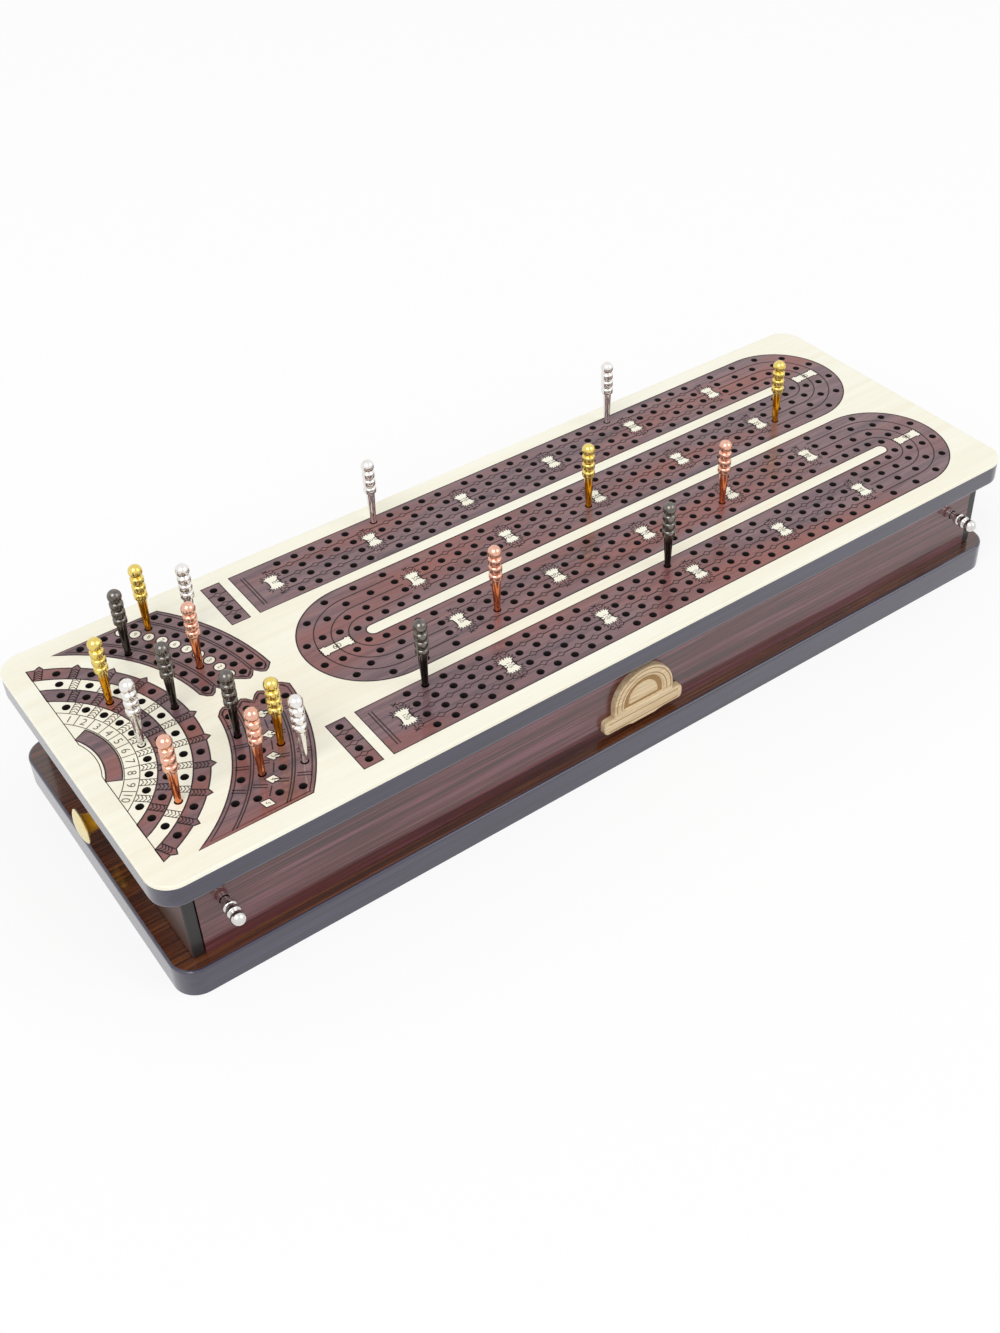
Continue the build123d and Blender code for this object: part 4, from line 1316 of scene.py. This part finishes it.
    def clip_angle(self, radius: float) -> float:
        """Angle in degrees at which a radius meets the straight left side of the games figure."""
        run = self.layout.figure_end - self.layout.arc_x
        return degrees(atan2(sqrt(radius**2 - run**2), run))

    def ribbon(self, low: float, high: float, angle: float) -> list[Loop]:
        """Cross bar of the games figure: two straight lines with chevrons between them."""
        lay = self.layout
        half = 1.3
        if lay.polar(low, abs(angle) + degrees((half + 0.1) / low))[0] < lay.figure_end:
            return []

        def place(radius: float, across: float) -> Spot:
            """Spot a distance across the bar's middle line."""
            return lay.polar(radius, angle + degrees(across / radius))

        paths = [[place(low, across), place(high, across)] for across in (-half, half)]
        for i in range(4):
            foot = low + 0.35 + (high - low - 1.5) * i / 3
            paths.append([place(foot, -half), place(foot + 0.85, 0.0), place(foot, half)])
        return paths

    def games_lines(self, dark: bool) -> list[Loop]:
        """Burnt lines on the dark or the light bands of the games figure."""
        lay = self.layout
        paths: list[Loop] = []
        for band in (0, 2) if dark else (1, 3):
            high, low = lay.games_edges[band], lay.games_edges[band + 1]
            for line in range(11):
                paths += self.ribbon(low + 0.2, high - 0.2, (line - 5) * lay.games_steps[band])
        if not dark:
            clip = lay.figure_end
            for radius in (lay.games_edges[4], lay.label_outer + 0.6):
                end = self.clip_angle(radius)
                paths.append(arc((lay.arc_x, 0), radius, -end, end, 3))
            for line in range(-4, 5):
                angle = line * lay.number_step
                paths.append([lay.polar(lay.label_outer + 0.8, angle), lay.polar(lay.number_outer, angle)])
            # The straight left side gives way in the middle to an arc round the label
            bend = self.clip_angle(lay.label_bend)
            top = sqrt(lay.games_edges[0] ** 2 - (clip - lay.arc_x) ** 2)
            paths.append(
                [(clip, -top)] + arc((lay.arc_x, 0), lay.label_bend, -bend, bend, 5) + [(clip, top)]
            )
        return paths

    def build_lines(self) -> None:
        """All burnt lines, nearly flush with the face."""
        level = self.layout.top
        rims = [outline + outline[:1] for outline, _ in self.dark_figures(0.06)]
        rims += [loop + loop[:1] for loops in self.inlays(0.06).values() for loop in loops]
        dark, brown = self.finishes[SCORCHED_DARK], self.finishes[SCORCHED_BROWN]
        fine = self.lane_chains() + self.plaque_rays() + self.turn_lines() + self.figure_lines()
        fine += self.games_lines(True)
        for name, paths, width, coat in (
            ("burnt_rims", rims, RIM_WIDTH, dark),
            ("burnt_track_lines", fine, TRACK_LINE_WIDTH, dark),
            ("burnt_maple_lines", self.games_lines(False), MAPLE_LINE_WIDTH, brown),
        ):
            report(self.trees.engrave(name, paths, level, width, coat), "case", "rosewood_board")

    def build_numerals(self) -> None:
        """Burnt numbers on the plaques, discs, diamonds and the games ring."""
        draft = Draft()
        lay = self.layout
        for spot, number in self.plaques:
            self.write(draft, number, spot, -90, PLAQUE_TYPE if len(number) < 3 else LONG_PLAQUE_TYPE)
        for (x, y, facing, _), number in zip(lay.turns(), SCROLL_NUMBERS):
            self.write(draft, number, (x + facing * lay.lane_pitch / 2, y), 0, SCROLL_TYPE)
        ring_end = 4.5 * lay.number_step
        ring_places = lay.strung(lay.number_orbit, ring_end, -ring_end, 10)
        rows = ((self.disc_places(), DISC_TYPE), (self.diamond_places(), DIAMOND_TYPE), (ring_places, RING_TYPE))
        for places, size in rows:
            for i, (spot, angle) in enumerate(places):
                self.write(draft, str(i + 1), spot, angle - 90, size)
        report(draft.make("burnt_numerals", [self.finishes[SCORCHED_LIGHT]]), "case", "maple")

    def write(self, draft: Draft, text: str, place: Spot, angle: float, size: float) -> None:
        """Adds one number to a draft.

        Args:
            draft: What gets the number.
            text: Its digits.
            place: Its middle.
            angle: Turn in degrees.
            size: Height of the type in mm.
        """
        curve = bpy.data.curves.new("numeral", "FONT")
        curve.body, curve.size, curve.align_x, curve.align_y = text, size, "CENTER", "CENTER"
        curve.resolution_u = 2
        holder = bpy.data.objects.new("numeral", curve)
        bpy.context.scene.collection.objects.link(holder)
        mesh = bpy.data.meshes.new_from_object(holder.evaluated_get(bpy.context.evaluated_depsgraph_get()))
        spots = turn_about([(v.co.x, v.co.y) for v in mesh.vertices], place, angle)
        level = self.layout.top + 0.03
        draft.add([(*spot, level) for spot in spots], [tuple(face.vertices) for face in mesh.polygons])
        bpy.data.objects.remove(holder)
        bpy.data.meshes.remove(mesh)


def within(spot: Spot, outline: Loop) -> bool:
    """Whether a place lies inside an outline."""
    x, y = spot
    inside = False
    for (ax, ay), (bx, by) in zip(outline, outline[1:] + outline[:1]):
        if (ay > y) != (by > y) and x < ax + (y - ay) * (bx - ax) / (by - ay):
            inside = not inside
    return inside


# ---------------------------------------------------------------- case
# Badge's arch from the rim in: radius, how far its foot stands up, and depth below the face, in mm
BADGE_STEPS = ((9.2, 0.0, 0.0), (8.9, 0.3, 0.5), (8.6, 0.6, 0.8), (6.6, 1.9, 0.8), (6.2, 2.3, 0.3))


@dataclass
class Case:
    """Base, walls and partition, and the badge on the front wall."""

    frame: dict[str, Any]
    finishes: Finishes
    layout: Layout
    badge_middle: float = 2.2
    badge_low: float = 14.7
    badge_bar: Spot = (17.5, 6.0)
    badge_round: float = 1.8
    badge_arch: float = 13.1
    badge_spring: float = 24.3
    badge_thickness: float = 2.5
    wall_face: float = 58.5

    def build(self) -> None:
        """Builds the base and the badge, and dresses the panels."""
        self.build_base()
        self.build_badge()
        for name in ("front_wall", "back_wall"):
            dress(self.frame, name, self.finishes[ROSEWOOD_WALL])
        dress(self.frame, "centre_partition", self.finishes[DRAWER_CROSSWISE])

    def build_base(self) -> None:
        """Base plate with rounded corners and an eased upper edge."""
        lay = self.layout
        profile = [(0.3, 0.0), (0.0, 0.3)] + [(inset, lay.base_top - drop) for inset, drop in EASING[::-1]]
        loops = [
            rounded_oblong(lay.base_half_length - inset, lay.half_width - inset, lay.base_corner - inset)
            for inset, _ in profile
        ]
        draft = Draft()
        draft.rise(loops, [level for _, level in profile])
        draft.fill(loops[0], [], 0.0, 1, up=False)
        draft.fill(loops[-1], [], lay.base_top, 1)
        # Coat 0, on the sides and underside of the base, is the slate painted reflection
        coats = [self.finishes[EDGE_PAINTED_SLATE_REFLECTION], self.finishes[ROSEWOOD_BASE]]
        report(draft.make("base_timber", coats), "case", "rosewood_case", "base_plate")

    def badge_outline(self, inset: float) -> Loop:
        """Outline of the badge: a bar that sags in the middle, with an arch above it."""
        middle, low = self.badge_middle, self.badge_low + inset
        half, rise = self.badge_bar[0] - inset, self.badge_bar[1] - 2 * inset
        round_end = self.badge_round - inset
        radius = self.badge_arch - inset
        sag = [(-9.0, 0.0), (-7.0, -0.2), (-5.0, -0.7), (5.0, -0.7), (7.0, -0.2), (9.0, 0.0)]
        low_left, low_right = (middle - half + round_end, low + round_end), (middle + half - round_end, low + round_end)
        high_right, high_left = (low_right[0], low + rise - round_end), (low_left[0], low + rise - round_end)
        return (
            arc(low_left, round_end, 180, 270, 15)
            + [(middle + x, low + y) for x, y in sag]
            + arc(low_right, round_end, 270, 360, 15)
            + arc(high_right, round_end, 0, 90, 15)
            + [(middle + radius, low + rise)]
            + arc((middle, self.badge_spring), radius, 0, 180, 6)
            + [(middle - radius, low + rise)]
            + arc(high_left, round_end, 90, 180, 15)
        )

    def arch_loop(self, radius: float, foot: float) -> Loop:
        """Outline of a half round on straight sides that stand on a foot height."""
        middle = self.badge_middle
        top = arc((middle, self.badge_spring), radius, 0, 180, 6)
        return top + [(middle - radius, foot), (middle + radius, foot)]

    def build_badge(self) -> None:
        """Carved badge: an arch with a rim round a sunk field, above a bar, all with engraved border lines."""
        frame = Matrix(((1, 0, 0, 0), (0, 0, -1, -self.wall_face), (0, 1, 0, 0), (0, 0, 0, 1)))
        draft = Draft(frame=frame)
        thick, foot = self.badge_thickness, self.badge_low + self.badge_bar[1] + 1.0
        outer = [self.badge_outline(inset) for inset in (0.0, 0.0, 0.12, 0.4)]
        draft.rise(outer, [0.0, thick - 0.4, thick - 0.12, thick])
        draft.fill(outer[0], [], 0.0, 0, up=False)
        rim, ledge, sunk, panel, crest = (
            (self.arch_loop(radius, foot + rise), thick - depth) for radius, rise, depth in BADGE_STEPS
        )
        draft.fill(outer[3], [rim[0]], thick)
        draft.band(*ledge, *rim, inward=True)
        draft.band(*sunk, *ledge, inward=True)
        draft.fill(sunk[0], [panel[0]], sunk[1], 1)
        # The middle of the field stands up again as a plain raised panel
        draft.band(*panel, *crest)
        draft.fill(crest[0], [], crest[1])
        middle, low, lines = self.badge_middle, self.badge_low, []
        for radius in (12.1, 10.1):
            lines.append(arc((middle, self.badge_spring), radius, -8, 188, 6))
        for height in (1.1, 4.6):
            lines.append([(middle - 15.6, low + height), (middle + 15.6, low + height)])
        for path in lines:
            draft.fill(ribbon_outline(path, 0.4), [], thick + 0.02, 1)
        coats = [self.finishes[CARVED_WOOD], self.finishes[ENGRAVED]]
        report(draft.make("badge", coats), "case", "carved_wood", "badge_plaque")


def ribbon_outline(path: Loop, width: float) -> Loop:
    """Outline of a flat line of a given width along a smooth path."""
    left, right = [], []
    for i, (x, y) in enumerate(path):
        ahead, behind = path[min(i + 1, len(path) - 1)], path[max(i - 1, 0)]
        run, rise = ahead[0] - behind[0], ahead[1] - behind[1]
        side = width / 2 / hypot(run, rise)
        left.append((x - rise * side, y + run * side))
        right.append((x + rise * side, y - run * side))
    return wound(left + right[::-1])


def dress(frame: dict[str, Any], name: str, coat: bpy.types.Material) -> None:
    """Gives a solid a material without changing its shape."""
    for slot in frame["nodes"][name].material_slots:
        slot.material = coat
    log.info("%s: dressed as %s", name, coat.name)


# ---------------------------------------------------------------- drawers
# Distance from the drawer's face and radius in mm: flange and waisted neck, then the domed disc
KNOB_NECK = ((0, 4.0), (0, 4.6), (0.5, 4.6), (0.8, 4.2), (1.3, 3.6), (2.4, 3.1), (5.0, 3.1), (6.4, 3.5), (7.4, 4.2))
KNOB_DISC = (
    (7.4, 4.0), (7.6, 5.2), (7.85, 5.9), (8.1, 6.2), (8.4, 6.2), (8.8, 5.7), (9.2, 4.7), (9.6, 3.2), (9.85, 1.2),
)
KNOB_SIDES = 40


@dataclass
class Drawer:
    """One drawer: its panels keep their solids, its knob is turned anew."""

    frame: dict[str, Any]
    finishes: Finishes
    trees: Trees
    end: str
    side: int
    face_x: float = 174.0493
    height: float = 26.75

    def build(self) -> None:
        """Dresses the panels and turns the knob."""
        prefix = f"drawer_{self.end}"
        dress(self.frame, f"{prefix}_front", self.finishes[ROSEWOOD_FRONT])
        for panel in ("side_front", "side_back", "bottom"):
            dress(self.frame, f"{prefix}_{panel}", self.finishes[DRAWER_LENGTHWISE])
        dress(self.frame, f"{prefix}_back", self.finishes[DRAWER_CROSSWISE])
        dress(self.frame, f"{prefix}_knob_screw", self.finishes[STEEL])
        self.build_knob()

    def build_knob(self) -> None:
        """Spool knob with a thin flange, a waisted neck and a domed disc."""
        turned = Euler((0, self.side * pi / 2, 0)).to_matrix().to_4x4()
        frame = Matrix.Translation((self.side * self.face_x, 0, self.height)) @ turned
        body, solid = f"drawer_{self.end}", f"drawer_{self.end}_knob"
        finishes = self.finishes
        neck = self.trees.turn(f"knob_{self.end}", KNOB_NECK, frame, finishes[BRASS], KNOB_SIDES)
        report(neck, body, "brass", solid)
        disc = self.trees.turn(f"knob_disc_{self.end}", KNOB_DISC, frame, finishes[PALE_BRASS], KNOB_SIDES)
        report(disc, body, "brass")


# ---------------------------------------------------------------- pegs
# Height up a bead and how far it stands out from the groove, as shares: a flat crest between narrow grooves
BEAD = ((0.06, -0.1), (0.13, 0.6), (0.22, 0.93), (0.32, 1.0), (0.68, 1.0), (0.78, 0.93), (0.87, 0.6), (0.94, -0.1))


@dataclass
class Pegs:
    """The twenty scoring pegs and the two lock pegs, turned with beads and a ball; sizes in mm."""

    finishes: Finishes
    trees: Trees
    length: float = 34.5
    tip: float = 0.806
    shank: float = 1.65
    neck: float = 1.7
    bead: float = 2.4
    ball: float = 2.5
    crest: float = 75.0
    foot: Spot = (0.3, 0.45)
    waist: float = 1.22
    beads: int = 3
    bead_pitch: float = 3.35
    lock_beads: int = 2
    lock_pitch: float = 2.6
    lock_ball: float = 9.0
    wall: float = 7.0

    @property
    def rise(self) -> float:
        """From the last groove up to the middle of the ball."""
        return sqrt(self.ball**2 - self.neck**2)

    @property
    def tip_sections(self) -> list[Spot]:
        """Blunt eased tip."""
        return [(0.0, self.foot[1]), (self.foot[0], self.tip)]

    def crown(self, start: float, beads: int, pitch: float) -> list[Spot]:
        """Beads and ball above a shank that ends at start."""
        sections: list[Spot] = []
        for count in range(beads):
            for share, girth in BEAD:
                radius = self.neck + (self.bead - self.neck) * girth
                sections.append((start + (count + share) * pitch, radius))
        middle = start + beads * pitch + self.rise
        first = degrees(asin(-self.rise / self.ball))
        for angle in [first + (self.crest - first) * i / 7 for i in range(8)]:
            sections.append((middle + self.ball * sin(radians(angle)), self.ball * cos(radians(angle))))
        return sections

    def build(self) -> None:
        """Turns every peg where its solid stands."""
        head = self.beads * self.bead_pitch + self.rise + self.ball * sin(radians(self.crest))
        shank = self.length - head
        sections = self.tip_sections + [(shank * 0.5, self.waist), (shank - 0.5, self.shank)]
        sections += self.crown(shank, self.beads, self.bead_pitch)
        coats = {"silver": SILVER, "gold": GOLD, "copper": COPPER, "black": BLACK}
        for finish, coat in coats.items():
            for number in range(1, 6):
                solid = f"peg_{finish}_{number}"
                low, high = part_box(solid)
                foot = Vector(((low[0] + high[0]) / 2, (low[1] + high[1]) / 2, low[2])) / MM
                piece = self.trees.turn(f"turned_{solid}", sections, Matrix.Translation(foot), self.finishes[coat])
                report(piece, solid, f"peg_{finish}", solid)
        self.build_locks()

    def build_locks(self) -> None:
        """Turns the two pegs in the front wall."""
        neck = self.wall + self.lock_ball - self.rise - self.lock_beads * self.lock_pitch
        sections = self.tip_sections + [(neck - 0.3, self.shank)]
        sections += self.crown(neck, self.lock_beads, self.lock_pitch)
        for end in ("left", "right"):
            solid = f"lock_peg_{end}"
            low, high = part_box(solid)
            foot = Vector(((low[0] + high[0]) / 2, high[1], (low[2] + high[2]) / 2)) / MM
            frame = Matrix.Translation(foot) @ Euler((pi / 2, 0, 0)).to_matrix().to_4x4()
            piece = self.trees.turn(f"turned_{solid}", sections, frame, self.finishes[LOCK_SILVER])
            report(piece, solid, "peg_silver", solid)


# ---------------------------------------------------------------- studio
@dataclass
class Studio:
    """Camera, white floor and soft light."""

    eye: tuple[float, float, float] = (-0.26342, -0.37491, 0.40571)
    turn: tuple[float, float, float] = (50.7711, 1.1401, -36.345)
    lens: float = 42.873
    shift: Spot = (-0.03272, -0.0533)
    sky: float = 0.62
    floor_white: float = 0.8
    floor_reach: float = 30000.0

    def build(self) -> None:
        """Sets the camera, the floor, the sky and the lamps."""
        scene = bpy.context.scene
        camera = bpy.data.cameras.new("camera")
        camera.lens, camera.sensor_fit, camera.sensor_height, camera.sensor_width = self.lens, "VERTICAL", 36, 36
        camera.shift_x, camera.shift_y = self.shift
        camera.clip_start = 0.01
        stand = bpy.data.objects.new("camera", camera)
        stand.location = self.eye
        stand.rotation_euler = Euler([radians(angle) for angle in self.turn])
        scene.collection.objects.link(stand)
        scene.camera = stand
        scene.view_settings.view_transform = "Standard"
        self.build_floor()
        self.build_sky()
        self.build_lamp("key_lamp", (-2.2, -1.2, 3.2), 2.5, 68.0)
        self.build_lamp("fill_lamp", (2.2, -2.6, 2.6), 2.5, 34.0)

    def build_floor(self) -> None:
        """White floor that keeps the box's soft shadow."""
        draft, reach = Draft(), self.floor_reach
        draft.add([(-reach, -reach, 0), (reach, -reach, 0), (reach, reach, 0), (-reach, reach, 0)], [(0, 1, 2, 3)])
        surface, tree, shader = open_material("floor_white_paper")
        shader.inputs["Base Color"].default_value = linear("#fafafa")
        shader.inputs["Roughness"].default_value = 0.9
        shader.inputs["Specular IOR Level"].default_value = 0.0
        white = node(tree, "ShaderNodeEmission", {"Color": (1, 1, 1, 1), "Strength": 1.0})
        part = node(tree, "ShaderNodeMath", {0: looking(tree), 1: self.floor_white}, operation="MULTIPLY")
        mixed = node(
            tree,
            "ShaderNodeMixShader",
            {0: part.outputs[0], 1: shader.outputs["BSDF"], 2: white.outputs["Emission"]},
        )
        tree.links.new(mixed.outputs["Shader"], tree.nodes["Material Output"].inputs["Surface"])
        draft.make("floor", [surface])

    def build_sky(self) -> None:
        """Even white light, seen as plain white by the camera and in gloss."""
        world = bpy.data.worlds.new("white_room")
        bpy.context.scene.world = world
        world.use_nodes = True
        tree = world.node_tree
        strength = remap(tree, looking(tree), self.sky, 1.0)
        tree.links.new(strength, tree.nodes["Background"].inputs["Strength"])
        tree.nodes["Background"].inputs["Color"].default_value = (1, 1, 1, 1)

    def build_lamp(self, name: str, place: tuple[float, float, float], size: float, power: float) -> None:
        """Square soft lamp aimed at the box."""
        lamp = bpy.data.lights.new(name, "AREA")
        lamp.size, lamp.energy = size, power
        stand = bpy.data.objects.new(name, lamp)
        stand.location = place
        stand.rotation_euler = (Vector((0, 0, 0.03)) - Vector(place)).to_track_quat("-Z", "Y").to_euler()
        bpy.context.scene.collection.objects.link(stand)


def looking(tree: bpy.types.NodeTree) -> bpy.types.NodeSocket:
    """Is 1 for a ray from the camera, off gloss or through glass, and 0 for light on the object."""
    ray = node(tree, "ShaderNodeLightPath").outputs
    seen = node(tree, "ShaderNodeMath", {0: ray["Is Camera Ray"], 1: ray["Is Glossy Ray"]}, operation="MAXIMUM")
    return node(
        tree, "ShaderNodeMath", {0: seen.outputs[0], 1: ray["Is Transmission Ray"]}, operation="MAXIMUM"
    ).outputs[0]


def main() -> None:
    """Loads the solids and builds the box."""
    logging.basicConfig(level=logging.INFO, format="%(message)s")
    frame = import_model()
    finishes, trees, layout = Finishes(), Trees(), Layout()
    Studio().build()
    ScoringBoard(layout, finishes, trees).build()
    Case(frame, finishes, layout).build()
    for end, side in (("left", -1), ("right", 1)):
        Drawer(frame, finishes, trees, end, side).build()
    Pegs(finishes, trees).build()


if __name__ == "__main__":
    main()
